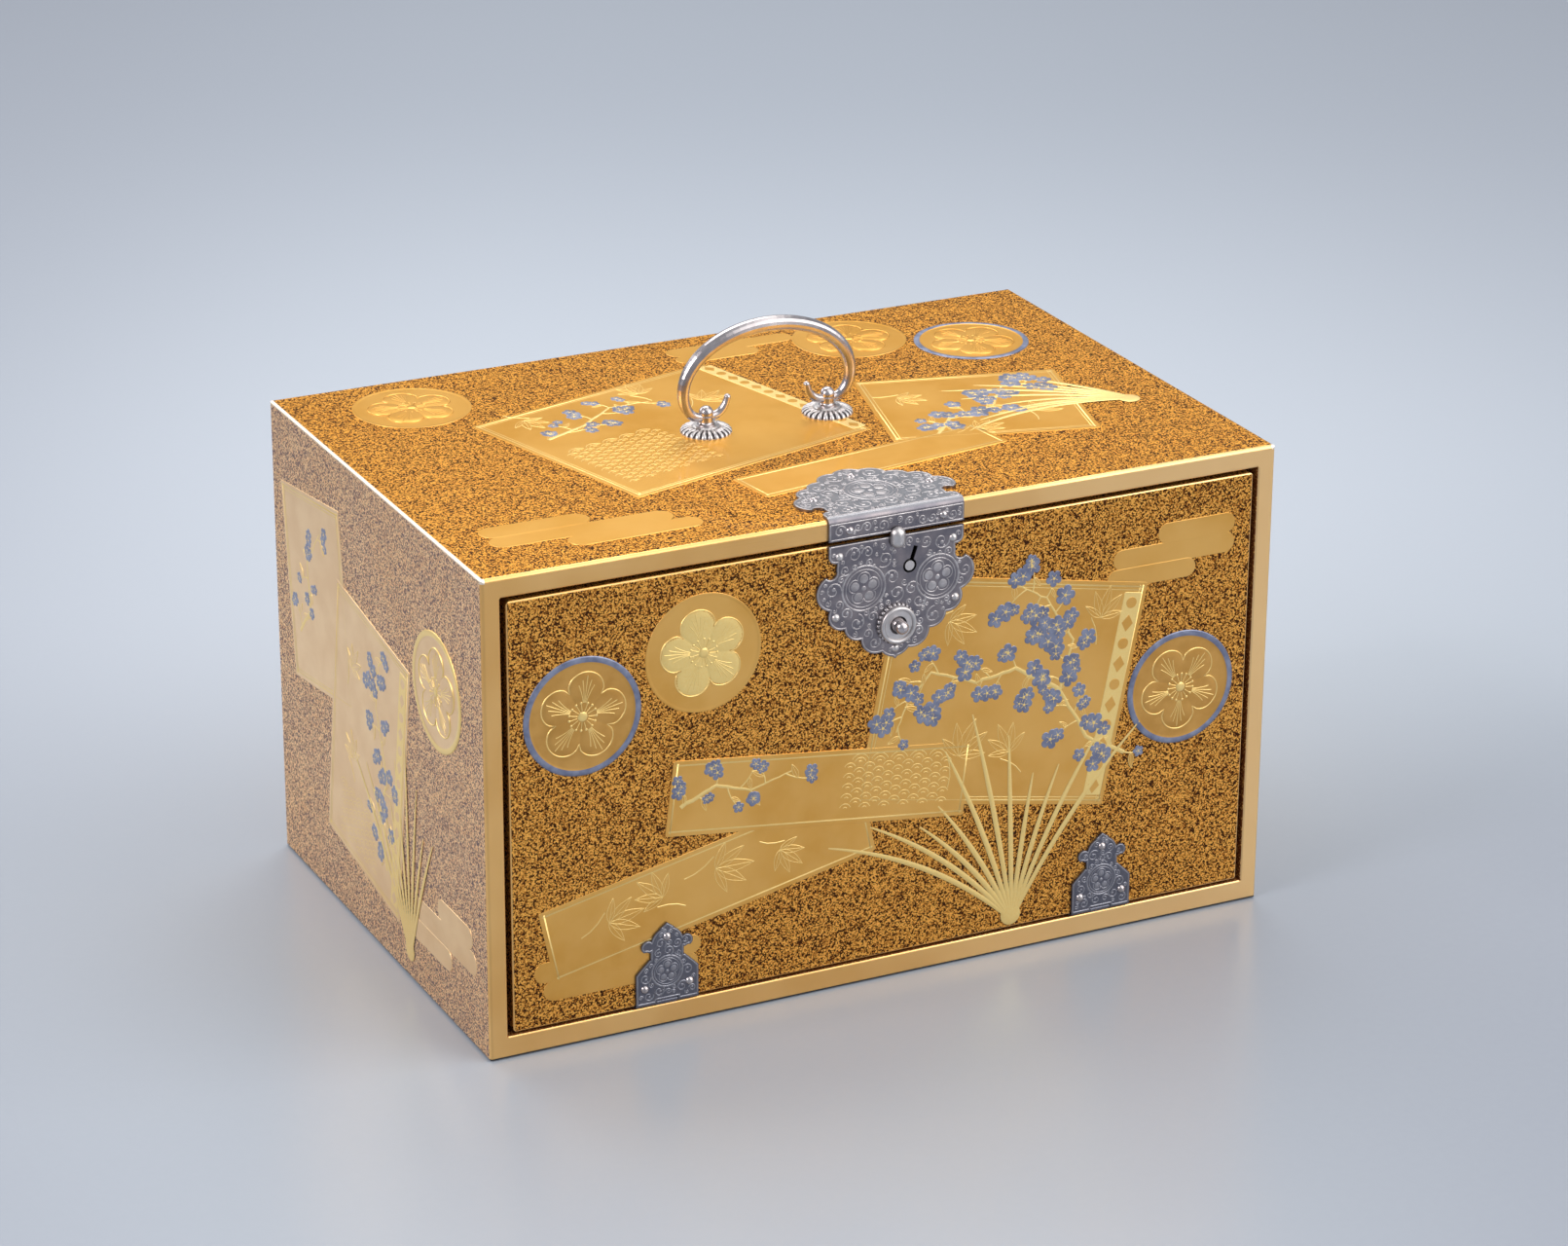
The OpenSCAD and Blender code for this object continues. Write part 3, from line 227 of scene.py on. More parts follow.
soft_box("soft_box_top", (0.25, 0.85, 1.5), (0.05, 0, 0.1), 1.5, 1.0, 17, (1.0, 0.975, 0.93))
soft_box("soft_box_over", (0.5, -0.55, 1.6), (0.05, 0, 0.1), 1.5, 1.1, 8, (1.0, 0.985, 0.96))
soft_box("soft_box_front", (1.2, -1.2, 0.95), (0.1, -0.05, 0.08), 2.0, 1.3, 23, (1.0, 0.965, 0.93))
soft_box("soft_box_left", (-1.6, -0.2, 1.1), (0, 0, 0.08), 1.0, 1.0, 21, (1.0, 0.92, 0.92))
soft_box("soft_box_back", (-1.0, 1.95, 1.05), (0, 0, 0.15), 1.4, 0.8, 11, (1.0, 0.98, 0.98))
world = bpy.data.worlds.new("room")
world.use_nodes = True
room = world.node_tree.nodes["Background"]
room.inputs["Color"].default_value = (0.50, 0.53, 0.58, 1)
room.inputs["Strength"].default_value = 0.80
scene.world = world


# The case: boards joined at the corners under thick dark lacquer. Gold flakes are strewn over
# the top, the sides and the back. The front frame and every rounded edge are plain satin gold.
# Its half width, half depth and height, and those of its hollow, are in millimetres.
chest_x, chest_y, chest_z = 136, 88, 158
hollow_x, hollow_z, hollow_middle, hollow_back = 130.0, 72.0, 79.4, 82.2
round_edge, flake_size, gold_tint = 1.4, 0.5 * mm, (1.0, 0.72, 0.35, 1)


def flakes(place):
    """Flakes of gold in dark lacquer: how much gold shows, and each flake's own shade."""
    wobble = noise(place, 1.4 * flake_size, out=1)
    wobble = place.node("ShaderNodeVectorMath", {0: wobble, 1: (0.5, 0.5, 0.5)}, operation="SUBTRACT")
    bent = place.node("ShaderNodeVectorMath", {0: wobble, "Scale": 0.7 * flake_size}, operation="SCALE")
    spot = place.node("ShaderNodeVectorMath", {0: place, 1: bent}, operation="ADD")
    cells = {"Vector": spot, "Scale": 1 / flake_size}
    distance = place.node("ShaderNodeTexVoronoi", cells)
    shade = place.node("ShaderNodeTexVoronoi", cells, out=1)
    shade = place.node("ShaderNodeSeparateColor", {0: shade})
    return between(distance, 0.72, 0.56), shade


def dusted(place):
    """The brown lacquer of the inside, with fine gold dust: its colour and how much is gold."""
    gold, shade = flakes(place)
    cover = gold * between(shade, 0.66, 0.95)
    drift = between(noise(place, 25 * mm), 0.3, 0.7)
    ground = mixed(drift, (0.13, 0.042, 0.013), (0.19, 0.065, 0.018))
    return mixed(cover, ground, (0.75, 0.42, 0.12)), cover


def flake_lacquer(inside):
    """Paint for a board. inside(place, normal) says where it is only dusted, plain gold and painted black
    shade.
    """
    def paint(place, tree):
        across, back, up = parts_of(place)
        normal = facing(tree)
        x, y, z = parts_of(normal)
        within, front, painted_black_shade = inside(place, normal)
        plain = (abs(x).larger(abs(y)).larger(abs(z)) < 0.97).larger(front)
        # The two ends get paler, pinker flakes and a grey-pink ground: a painted sheen of the room on those
        # faces.
        painted_end_sheen = (abs(x) > 0.9) * (abs(across) > (chest_x - 1) * mm)
        # The top edges of the two ends carry a near-white painted highlight.
        painted_edge_highlight = (abs(across) > (chest_x - round_edge) * mm) * (up > (chest_z - round_edge) * mm)
        gold, shade = flakes(place)
        shade = shade + (noise(place, 1.2 * mm) - 0.5) * 1.1
        drift = between(noise(place, 34 * mm), 0.3, 0.7)
        ground = mixed(painted_end_sheen, (0.040, 0.012, 0.003), (0.13, 0.09, 0.095))
        dark = mixed(painted_end_sheen, (0.38, 0.115, 0.012), (0.66, 0.36, 0.22))
        bright = mixed(painted_end_sheen, (1.0, 0.50, 0.10), (1.0, 0.74, 0.48))
        tone = mixed(between(shade, 0.10, 0.80), dark, bright)
        tone = mixed(drift * 0.1, tone, (0.95, 0.48, 0.09))
        cover = gold * between(shade, 0.12, 0.22)
        tone = mixed(cover, ground, tone)
        satin = mixed(drift, (0.78, 0.43, 0.115), (0.88, 0.52, 0.17))
        # The plain gold is painted paler towards the right: a painted highlight.
        satin = mixed(between(across, -30 * mm, chest_x * mm) * 0.6, satin, (1.0, 0.68, 0.32))
        # Near-white painted highlight along the top edges of the two ends.
        satin = mixed(painted_edge_highlight * 0.8, satin, (1.0, 0.92, 0.80))
        dust, dust_cover = dusted(place)
        tone = mixed(within, mixed(plain, tone, satin), dust)
        cover = cover * (1 - plain) * (1 - within)
        metal = eased(within, eased(plain, cover * 0.85, 0.95), dust_cover * 0.8)
        # Painted black shade: along the case's foot and on the door round the keyhole.
        if painted_black_shade:
            tone = mixed(painted_black_shade, tone, (0.008, 0.006, 0.005))
            metal = metal * (1 - painted_black_shade)
        return {"Base Color": tone, "Metallic": metal,
                "Roughness": eased(plain, 0.50 - cover * 0.10, 0.42 - drift * 0.08),
                "Coat Weight": eased(plain, 0.10, 1.0),
                "Normal": bump(place, cover * shade, 0.35, 0.10 * mm)}
    return paint


def lacquered(name, inside, coat_roughness):
    return finish(name, flake_lacquer(inside), Coat_Roughness=coat_roughness, Specular_IOR_Level=0.05,
                  Specular_Tint=gold_tint)


def case_inside(place, normal):
    x, y, z = parts_of(place)
    faces_front = parts_of(normal)[1] < -0.9
    level = abs(z - hollow_middle * mm) < hollow_z * mm
    within = (abs(x) < hollow_x * mm) * level * (y < hollow_back * mm)
    under = z < 0.1 * mm
    # A black band up to 0.9 mm high along the foot of the case: a painted contact shadow.
    painted_foot_shadow = (z < 0.9 * mm) - under
    return within.larger(under), faces_front * (1 - within), painted_foot_shadow


case_lacquer = lacquered("gold_flake_lacquer_case", case_inside, 0.04)
dress(case_lacquer, "top_board", "bottom_board", "left_side", "right_side", "back_board")


# The inner floor, shelves and divider: thin boards in the brown lacquer of the inside, dusted
# with fine gold, that slide into grooves in the case.
def dusted_lacquer(place, tree):
    tone, cover = dusted(place)
    return {"Base Color": tone, "Metallic": cover * 0.8, "Roughness": 0.42 - cover * 0.1}


inside_finish = finish("dusted_lacquer", dusted_lacquer, Coat_Weight=0.5, Coat_Roughness=0.1)
dress(inside_finish, "inner_floor", "lower_shelf", "upper_shelf", "upper_divider")


# The door: one lacquered panel that fills the front frame, with the same gold flakes over
# its face, plain gold on its rounded edges, a dusted inner face and a painted black shade
# round the keyhole.
key_spot, key_shade = (5.5, 139.3), 6 * mm


def door_inside(place, normal):
    x, y, z = parts_of(place)
    u, v = x - key_spot[0] * mm, z - key_spot[1] * mm
    # A black disc round the key pin: painted shade behind the keyhole.
    return parts_of(normal)[1] > 0.9, 0, u * u + v * v < key_shade ** 2


dress(lacquered("gold_flake_lacquer_door", door_inside, 0.05), "door_panel")


# The gold picture cards: square cards and long slips in raised powdered gold, laid one over
# another with a fine bright line inside their edges.
class Side:
    """A flat side of the chest, measured in millimetres across, up and out of it."""

    def __init__(self, body, corner, right, up):
        self.body, self.corner = body, Vector(corner) * mm
        self.right, self.up = Vector(right) * mm, Vector(up) * mm
        self.out = self.right.cross(self.up) / mm

    def at(self, x, y, lift):
        return self.corner + self.right * x + self.up * y + self.out * lift

    def of(self, point):
        return [(point - self.corner).dot(way) / mm ** 2 for way in (self.right, self.up, self.out)]


FRONT = Side("door", (0, -chest_y, 0), (1, 0, 0), (0, 0, 1))
TOP = Side("case", (0, 0, chest_z), (1, 0, 0), (0, 1, 0))
LEFT = Side("case", (-chest_x, 0, 0), (0, -1, 0), (0, 0, 1))
RIGHT = Side("case", (chest_x, 0, 0), (0, 1, 0), (0, 0, 1))
BACK = Side("case", (0, chest_y, 0), (-1, 0, 0), (0, 0, 1))


class Relief:
    """Low raised work on one side of the chest, gathered into one piece."""

    def __init__(self, side, tone=0):
        self.side, self.points, self.faces, self.smooth, self.tones = side, [], [], [], []
        self.tone = tone

    def face(self, corners, smooth=True):
        self.faces.append(corners)
        self.smooth.append(smooth)
        self.tones.append(self.tone)

    def rings(self, rings, cap=True):
        """Closed rings of (x, y, lift) points of one count, from the outer edge inwards."""
        first, count = len(self.points), len(rings[0])
        for ring in rings:
            self.points += ring
        for k in range(len(rings) - 1):
            for i in range(count):
                a, b = first + k * count + i, first + k * count + (i + 1) % count
                self.face((a, b, b + count, a + count))
        if cap:
            last = first + (len(rings) - 1) * count
            self.face(tuple(range(last, last + count)), False)

    def panel(self, outline, low, high, edge=0.12):
        """A flat raised area with a softly rounded edge."""
        self.rings([[(x, y, low) for x, y in outline],
                    [(x, y, low + (high - low) * 0.7) for x, y in inset(outline, edge * 0.35)],
                    [(x, y, high) for x, y in inset(outline, edge)]])

    def ridge(self, path, width, low, height, closed=False):
        """A rounded line along a path. Width may be a function of the share of its length."""
        count, first = len(path), len(self.points)
        for i, (x, y) in enumerate(path):
            back = path[i - 1 if i or closed else 0]
            ahead = path[(i + 1) % count if closed else min(i + 1, count - 1)]
            along = Vector((ahead[0] - back[0], ahead[1] - back[1])).normalized()
            wide = width(i / (count - 1)) if callable(width) else width
            tall = height * min(1, wide / width(0.3)) if callable(width) else height
            for offset, rise in ((-0.5, 0), (-0.3, 0.75), (0, 1), (0.3, 0.75), (0.5, 0)):
                u, v = x - along.y * wide * offset, y + along.x * wide * offset
                self.points.append((u, v, low + tall * rise))
        for i in range(count if closed else count - 1):
            for j in range(4):
                a, b = first + i * 5 + j, first + (i + 1) % count * 5 + j
                self.face((a, b, b + 1, a + 1))

    def dome(self, x, y, radius, low, height, sides=10):
        turns = [2 * pi * i / sides for i in range(sides)]
        self.rings([[(x + radius * r * cos(a), y + radius * r * sin(a), low + height * h) for a in turns]
                    for r, h in ((1, 0), (0.85, 0.55), (0.5, 0.9), (0.1, 1))])

    def make(self, name, materials):
        mesh = bpy.data.meshes.new(name)
        mesh.from_pydata([self.side.at(*p) for p in self.points], [], self.faces)
        mesh.polygons.foreach_set("use_smooth", self.smooth)
        for material in materials:
            mesh.materials.append(material)
        mesh.polygons.foreach_set("material_index", self.tones)
        piece = bpy.data.objects.new(name, mesh)
        scene.collection.objects.link(piece)
        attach(piece, self.side.body)
        return piece


def inset(outline, depth):
    """A closed outline drawn depth further in, for one that runs counterclockwise."""
    moved = []
    for i, (x, y) in enumerate(outline):
        before, after = Vector(outline[i - 1]), Vector(outline[(i + 1) % len(outline)])
        into, away = (Vector((x, y)) - before).normalized(), (after - Vector((x, y))).normalized()
        inward = Vector((-into.y - away.y, into.x + away.x))
        half = max(0.35, inward.length / 2)
        inward = inward.normalized() * depth / half
        moved.append((x + inward.x, y + inward.y))
    return moved


def turned(points, x, y, tilt):
    """Points turned by tilt degrees round the origin and moved to x, y."""
    c, s = cos(radians(tilt)), sin(radians(tilt))
    return [(x + u * c - v * s, y + u * s + v * c) for u, v in points]


def rounded_box(width, height, corner, steps=5):
    """A rectangle round the origin with round corners."""
    outline, half_width, half_height = [], width / 2 - corner, height / 2 - corner
    for k, (sx, sy) in enumerate(((1, -1), (1, 1), (-1, 1), (-1, -1))):
        for i in range(steps + 1):
            a = radians(-90 + 90 * k + 90 * i / steps)
            outline.append((sx * half_width + corner * cos(a), sy * half_height + corner * sin(a)))
    return outline


def powdered_gold(place, tree):
    drift = between(noise(place, 42 * mm, 3), 0.35, 0.65)
    cloud = between(noise(place, 9 * mm, 4), 0.30, 0.75)
    grain = noise(place, 0.25 * mm, 3)
    tone = mixed(drift, (0.74, 0.38, 0.075), (0.84, 0.47, 0.12))
    tone = mixed(cloud * 0.35, tone, (0.88, 0.53, 0.16))
    return {"Base Color": tone, "Roughness": 0.44 - grain * 0.12,
            "Normal": bump(place, grain + cloud * 2, 0.10, 0.05 * mm)}


def line_gold(place, tree):
    grain = noise(place, 0.6 * mm, 3)
    tone = mixed(grain, (0.97, 0.66, 0.20), (1.0, 0.78, 0.33))
    return {"Base Color": tone, "Roughness": 0.36 + grain * 0.12}


def brown_gold(place, tree):
    drift = between(noise(place, 8 * mm, 4), 0.3, 0.7)
    grain = noise(place, 0.25 * mm, 3)
    tone = mixed(drift, (0.60, 0.31, 0.07), (0.70, 0.38, 0.10))
    return {"Base Color": tone, "Roughness": 0.44 - grain * 0.12,
            "Normal": bump(place, grain, 0.10, 0.05 * mm)}


powder_gloss = {"Metallic": 0.95, "Coat_Weight": 0.25, "Coat_Roughness": 0.06, "Specular_Tint": gold_tint}
powder_finish = finish("powdered_gold", powdered_gold, **powder_gloss)
brown_finish = finish("brown_powdered_gold", brown_gold, **powder_gloss)
line_finish = finish("line_gold", line_gold, Metallic=0.9, Coat_Weight=0.2, Coat_Roughness=0.15)


# The powdered gold of the ends, painted paler and pinker: a painted sheen.
def painted_sheen_gold(place, tree):
    cloud = between(noise(place, 12 * mm, 4), 0.30, 0.75)
    grain = noise(place, 0.25 * mm, 3)
    tone = mixed(cloud, (0.88, 0.58, 0.28), (0.96, 0.67, 0.35))
    return {"Base Color": tone, "Roughness": 0.46 - grain * 0.12,
            "Normal": bump(place, grain + cloud * 2, 0.10, 0.05 * mm)}


painted_sheen_finish = finish("painted_sheen_powdered_gold", painted_sheen_gold, Metallic=0.95, Coat_Weight=0.3, Coat_Roughness=0.06)


def powder_on(side):
    """The powdered gold of a side: on the ends of the chest it is painted paler, a painted sheen."""
    return painted_sheen_finish if side in (LEFT, RIGHT) else powder_finish


# Each card's side, its middle across and up, its width, height and tilt, and how high it lies.
cards = [
    ("front_square_card", FRONT, 39.5, 90.7, 90, 75.4, -11, 0.20),
    ("front_low_slip", FRONT, -62, 46, 112, 25, 12, 0.14),
    ("front_long_slip", FRONT, -24, 70, 104, 25, -7, 0.26),
    ("top_square_card", TOP, -30, 8, 96, 84, 15, 0.14),
    ("top_right_card", TOP, 68, -14, 68, 58, -14, 0.20),
    ("top_slip", TOP, 14, -46, 92, 19, 8, 0.26),
    ("left_tall_card", LEFT, -8, 66, 62, 92, -9, 0.20),
    ("left_far_card", LEFT, -50, 104, 52, 66, 7, 0.14),
    ("right_card", RIGHT, 10, 84, 78, 70, 10, 0.14),
    ("right_slip", RIGHT, -32, 46, 76, 22, -12, 0.20),
    ("back_card", BACK, -36, 88, 96, 78, 9, 0.14),
    ("back_slip", BACK, 40, 54, 108, 26, -8, 0.20),
]
for name, side, x, y, width, height, tilt, lift in cards:
    card = Relief(side)
    outline = turned(rounded_box(width, height, 0.8), x, y, tilt)
    card.panel(outline, -0.05, lift)
    card.tone = 1
    card.ridge(inset(outline, 1.6), 0.5, lift - 0.01, 0.08, closed=True)
    if height > 40:
        card.ridge(inset(outline, 2.7), 0.3, lift - 0.01, 0.06, closed=True)
    card.make(name, [powder_on(side), line_finish])


# The bright strips: bands of burnished gold along one side of a card, with a row of lozenges
# and rounds in powdered gold laid over them.
def circle(radius, sides):
    """Points round the origin. Radius may be a function of the angle."""
    turns = [2 * pi * i / sides for i in range(sides)]
    reaches = [radius(a) if callable(radius) else radius for a in turns]
    return [(reach * cos(a), reach * sin(a)) for reach, a in zip(reaches, turns)]


def strip(side, name, x, y, width, length, tilt, lift):
    band = Relief(side, tone=1)
    band.panel(turned(rounded_box(width, length, 0.6), x, y, tilt), lift - 0.02, lift + 0.08)
    band.tone = 0
    count = int(length / (width * 1.05))
    for k in range(count):
        along = (k - (count - 1) / 2) * length / count
        round_hole, half, tip = circle(0.30 * width, 16), 0.33 * width, 0.46 * width
        shape = round_hole if k % 2 else [(half, 0), (0, tip), (-half, 0), (0, -tip)]
        shape = [(u, along + v) for u, v in shape]
        band.panel(turned(shape, x, y, tilt), lift + 0.05, lift + 0.10, edge=0.08)
    band.make(name, [powder_on(side), line_finish])


for k, places in enumerate((
        (FRONT, 79.0, 82.9, 6.4, 68.6, -11, 0.20), (TOP, 14.6, 20.0, 5.6, 77, 15, 0.14),
        (LEFT, 17.7, 61.9, 5.6, 85, -9, 0.20), (RIGHT, 44.0, 90.0, 5.6, 63, 10, 0.14),
        (BACK, 6.0, 94.6, 5.6, 71, 9, 0.14))):
    strip(places[0], "bright_strip_%d" % (k + 1), *places[1:])


# The wave scales: rows of nested arcs, a common old pattern, drawn in fine raised gold lines
# on parts of the cards.
def waves(side, name, x, y, width, height, tilt, lift, size=3.4):
    sea = Relief(side)
    rows, columns = int(height / (size * 0.5)), int(width / (2 * size))
    for row in range(rows):
        for column in range(columns - row % 2):
            u = (column - (columns - 1) / 2 + 0.5 * (row % 2)) * 2 * size
            v = (row - (rows - 1) / 2) * size * 0.5
            for reach in (0.97, 0.62, 0.28):
                outer = reach > 0.9
                low = radians(28 if outer else 10)
                turns = [low + (pi - 2 * low) * i / 10 for i in range(11)]
                arc = [(u + size * reach * cos(a), v + size * reach * sin(a)) for a in turns]
                if not outer:
                    arc = [(a, b) for a, b in arc if b - v > size * 0.18]
                elif row < rows - 1:
                    arc = [(a, b) for a, b in arc if hypot(abs(a - u) - size, b - v - size * 0.5) > size]
                if len(arc) > 2:
                    sea.ridge(turned(arc, x, y, tilt), 0.28, lift - 0.01, 0.05)
    sea.make(name, [line_finish])


waves(FRONT, "front_waves", 2, 66.6, 42, 18, -7, 0.26)
waves(TOP, "top_waves", -48, -12, 44, 34, 15, 0.14)
waves(LEFT, "left_waves", -18, 34, 34, 20, -9, 0.20)
waves(BACK, "back_waves", -60, 68, 34, 26, 9, 0.14)
waves(RIGHT, "right_waves", -2, 66, 40, 18, 10, 0.14)


# The mist: level bands of powdered gold with round ends, stepped one over another, strewn
# through a tube onto wet lacquer. Each band's middle, width and height are in millimetres.
def mist_bands(cloud, bands):
    for i, (x, y, width, height) in enumerate(bands):
        outline = turned(rounded_box(width, height, height / 2 - 0.01, 10), x, y, 0)
        cloud.panel(outline, -0.05, 0.10 + 0.03 * i)


mist = [
    (FRONT, ((-92, 20, 52, 7), (-104, 26.5, 34, 7), (-80, 26, 30, 6.5))),
    (FRONT, ((100, 128, 44, 7), (108, 134.5, 28, 7), (92, 121.8, 32, 6.5))),
    (TOP, ((-92, -62, 60, 9), (-104, -53.5, 36, 9), (-78, -70.5, 44, 8.5))),
    (TOP, ((22, 74, 46, 8), (14, 66.5, 30, 7.5))),
    (LEFT, ((54, 28, 50, 8), (62, 35.5, 28, 7.5), (42, 20.5, 34, 7.5))),
    (RIGHT, ((42, 30, 60, 8), (52, 37.5, 34, 7.5), (-52, 138, 44, 8))),
    (BACK, ((66, 138, 70, 8), (86, 130.5, 44, 7.5), (20, 20, 60, 8), (34, 27.5, 34, 7.5))),
]
for k, (side, bands) in enumerate(mist):
    cloud = Relief(side)
    mist_bands(cloud, bands)
    cloud.make("mist_%d" % (k + 1), [powder_on(side)])


# The grasses: long blades of bright gold that spread from one root, each a raised line that
# thins to its tip.
def blade(relief, x, y, reach, lean, bend, lift, steps=24):
    path = []
    for i in range(steps + 1):
        a = radians(lean + bend * (i / steps))
        path.append((x, y))
        x, y = x + reach / steps * sin(a), y + reach / steps * cos(a)
    relief.ridge(path, lambda t: 0.3 + 1.5 * sin(pi * min(1, 0.18 + 0.8 * t)) ** 0.8, lift, 0.12)


grass_roots = [
    (FRONT, 44, 13, 0.26, 11, 74, (-66, 40)),
    (TOP, 116, -30, 0.24, 9, 62, (-104, -40)),
    (LEFT, 24, 10, 0.24, 9, 70, (-44, 26)),
    (RIGHT, -8, 10, 0.2, 9, 72, (-40, 40)),
    (BACK, -74, 10, 0.2, 11, 70, (-50, 50)),
]
for k, (side, x, y, lift, count, reach, spread) in enumerate(grass_roots):
    tuft = Relief(side)
    for i in range(count):
        share = i / (count - 1)
        lean = spread[0] + (spread[1] - spread[0]) * share
        blade(tuft, x + 3.2 * (share - 0.5), y, reach * (0.82 + 0.18 * cos(5 * i)), lean * 0.7,
              lean * 0.45, lift + 0.004 * (i % 3))
    tuft.dome(x, y, 3.6, lift - 0.04, 0.16, 20)
    tuft.make("grass_%d" % (k + 1), [line_finish])


# The blossoms: plum branches in raised gold with five-petalled flowers of blue-grey silver
# leaf and a gold dot in each, strewn over the cards.
def silver_leaf(place, tree):
    tarnish = between(noise(place, 4 * mm, 4), 0.3, 0.7)
    tone = mixed(tarnish, (0.155, 0.175, 0.27), (0.28, 0.31, 0.42))
    return {"Base Color": tone, "Roughness": 0.34 + tarnish * 0.14}


silver_leaf_finish = finish("blue_grey_silver", silver_leaf, Metallic=0.7, Coat_Weight=0.4,
                            Coat_Roughness=0.08)


def petal_reach(angle):
    """The outline of a blossom: 1 at the middle of each petal and less between them."""
    return 0.62 + 0.38 * abs(cos(2.5 * angle)) ** 0.55


def blossom(relief, x, y, radius, turn, lift):
    relief.tone = 1
    outline = circle(lambda a: radius * petal_reach(a), 50)
    relief.panel(turned(outline, x, y, turn), lift - 0.02, lift + 0.10, edge=0.15)
    relief.tone = 0
    relief.dome(x, y, radius * 0.17, lift + 0.09, 0.05, 8)
    for k in range(5):
        a = radians(turn + 72 * k)
        vein = [(x + radius * r * cos(a), y + radius * r * sin(a)) for r in (0.2, 0.35, 0.5)]
        relief.ridge(vein, 0.16, lift + 0.09, 0.03)


def leaf(relief, x, y, length, turn, lift, share=0.17):
    """A slim pointed leaf with a raised rim and midrib."""
    count = 9
    edge = [(length * i / count, share * length * sin(pi * (i / count) ** 0.8)) for i in range(1, count)]
    outline = turned([(0, 0)] + [(u, -v) for u, v in edge] + [(length, 0)] + edge[::-1], x, y, turn)
    relief.tone = 2
    relief.panel(outline, lift - 0.02, lift + 0.06, edge=0.1)
    relief.tone = 0
    relief.ridge(outline, 0.22, lift, 0.09, closed=True)
    relief.ridge(turned([(length * k / 4, 0) for k in range(5)], x, y, turn), 0.18, lift + 0.05, 0.05)


def spray(relief, x, y, length, turn, lift):
    """Bamboo grass: a short stem with a fan of slim leaves."""
    relief.tone = 0
    stem = [(-length * 0.9 + length * 0.3 * k, 0.04 * length * k * k) for k in range(4)]
    relief.ridge(turned(stem, x, y, turn), 0.4, lift, 0.09)
    for k, lean in enumerate((-74, -38, -8, 24, 60)):
        leaf(relief, x, y, length * (0.8, 1, 1.1, 0.95, 0.75)[k], turn + lean, lift + 0.004 * k, 0.15)


def branch(relief, dice, path, lift, blooms, size):
    """A knobbly branch along a path, with twigs, leaves and blossoms to both sides."""
    knobs, high = [], lift
    for (ax, ay), (bx, by) in zip(path, path[1:]):
        for i in range(6):
            spot = (ax + (bx - ax) * (i / 6), ay + (by - ay) * (i / 6))
            knobs.append(tuple(c + dice.uniform(-0.25, 0.25) for c in spot))
    knobs.append(path[-1])
    relief.tone = 0
    relief.ridge(knobs, lambda t: 0.4 + 1.1 * (1 - t), lift, 0.10)
    for k in range(blooms):
        i = int((k + 0.8) / (blooms + 0.2) * (len(knobs) - 1))
        x, y = knobs[i]
        a = atan2(y - knobs[i - 1][1], x - knobs[i - 1][0]) + (-1) ** k * radians(dice.uniform(30, 80))
        reach = dice.uniform(3, 10)
        bends = [(reach * t / 6, a + 0.05 * t) for t in range(7)]
        twig = [(x + far * cos(b), y + far * sin(b)) for far, b in bends]
        relief.tone = 0
        relief.ridge(twig, lambda t: 0.25 + 0.3 * (1 - t), lift, 0.07)
        leaf(relief, *twig[3], dice.uniform(3.5, 5.5), dice.uniform(0, 360), lift + 0.0007 * k)
        for n in range(dice.choice((1, 2, 2, 3, 4))):
            high += 0.0011
            u, v = (c + dice.uniform(-1.1, 1.1) * size * min(n, 1) for c in twig[-1])
            blossom(relief, u, v, size * dice.uniform(0.6, 1.1), dice.uniform(0, 72), high)


dice = random.Random(11)
for k, (side, lift, blooms, size, path) in enumerate((
        (FRONT, 0.21, 24, 3.3, ((84, 62), (70, 70), (60, 88), (64, 104), (54, 120), (44, 126))),
        (FRONT, 0.21, 17, 3.1, ((60, 88), (44, 98), (30, 96), (14, 102), (6, 94), (2, 84))),
        (FRONT, 0.27, 8, 2.4, ((-72, 73), (-60, 78), (-48, 74), (-34, 78))),
        (TOP, 0.2, 18, 3.3, ((44, -34), (56, -20), (72, -18), (84, -2), (94, -4))),
        (TOP, 0.14, 10, 2.6, ((-70, 14), (-54, 22), (-40, 34), (-26, 34))),
        (LEFT, 0.2, 18, 2.6, ((6, 30), (0, 46), (8, 62), (0, 84), (4, 102))),
        (LEFT, 0.14, 8, 2.4, ((-66, 86), (-56, 96), (-58, 112), (-46, 126))),
        (RIGHT, 0.14, 15, 3.0, ((30, 68), (20, 78), (10, 92), (-4, 100), (-10, 110))),
        (BACK, 0.14, 20, 3.2, ((-66, 82), (-50, 88), (-36, 102), (-18, 104), (-6, 114))))):
    sprig = Relief(side)
    branch(sprig, dice, path, lift, blooms, size)
    sprig.make("plum_branch_%d" % (k + 1), [line_finish, silver_leaf_finish, powder_on(side)])

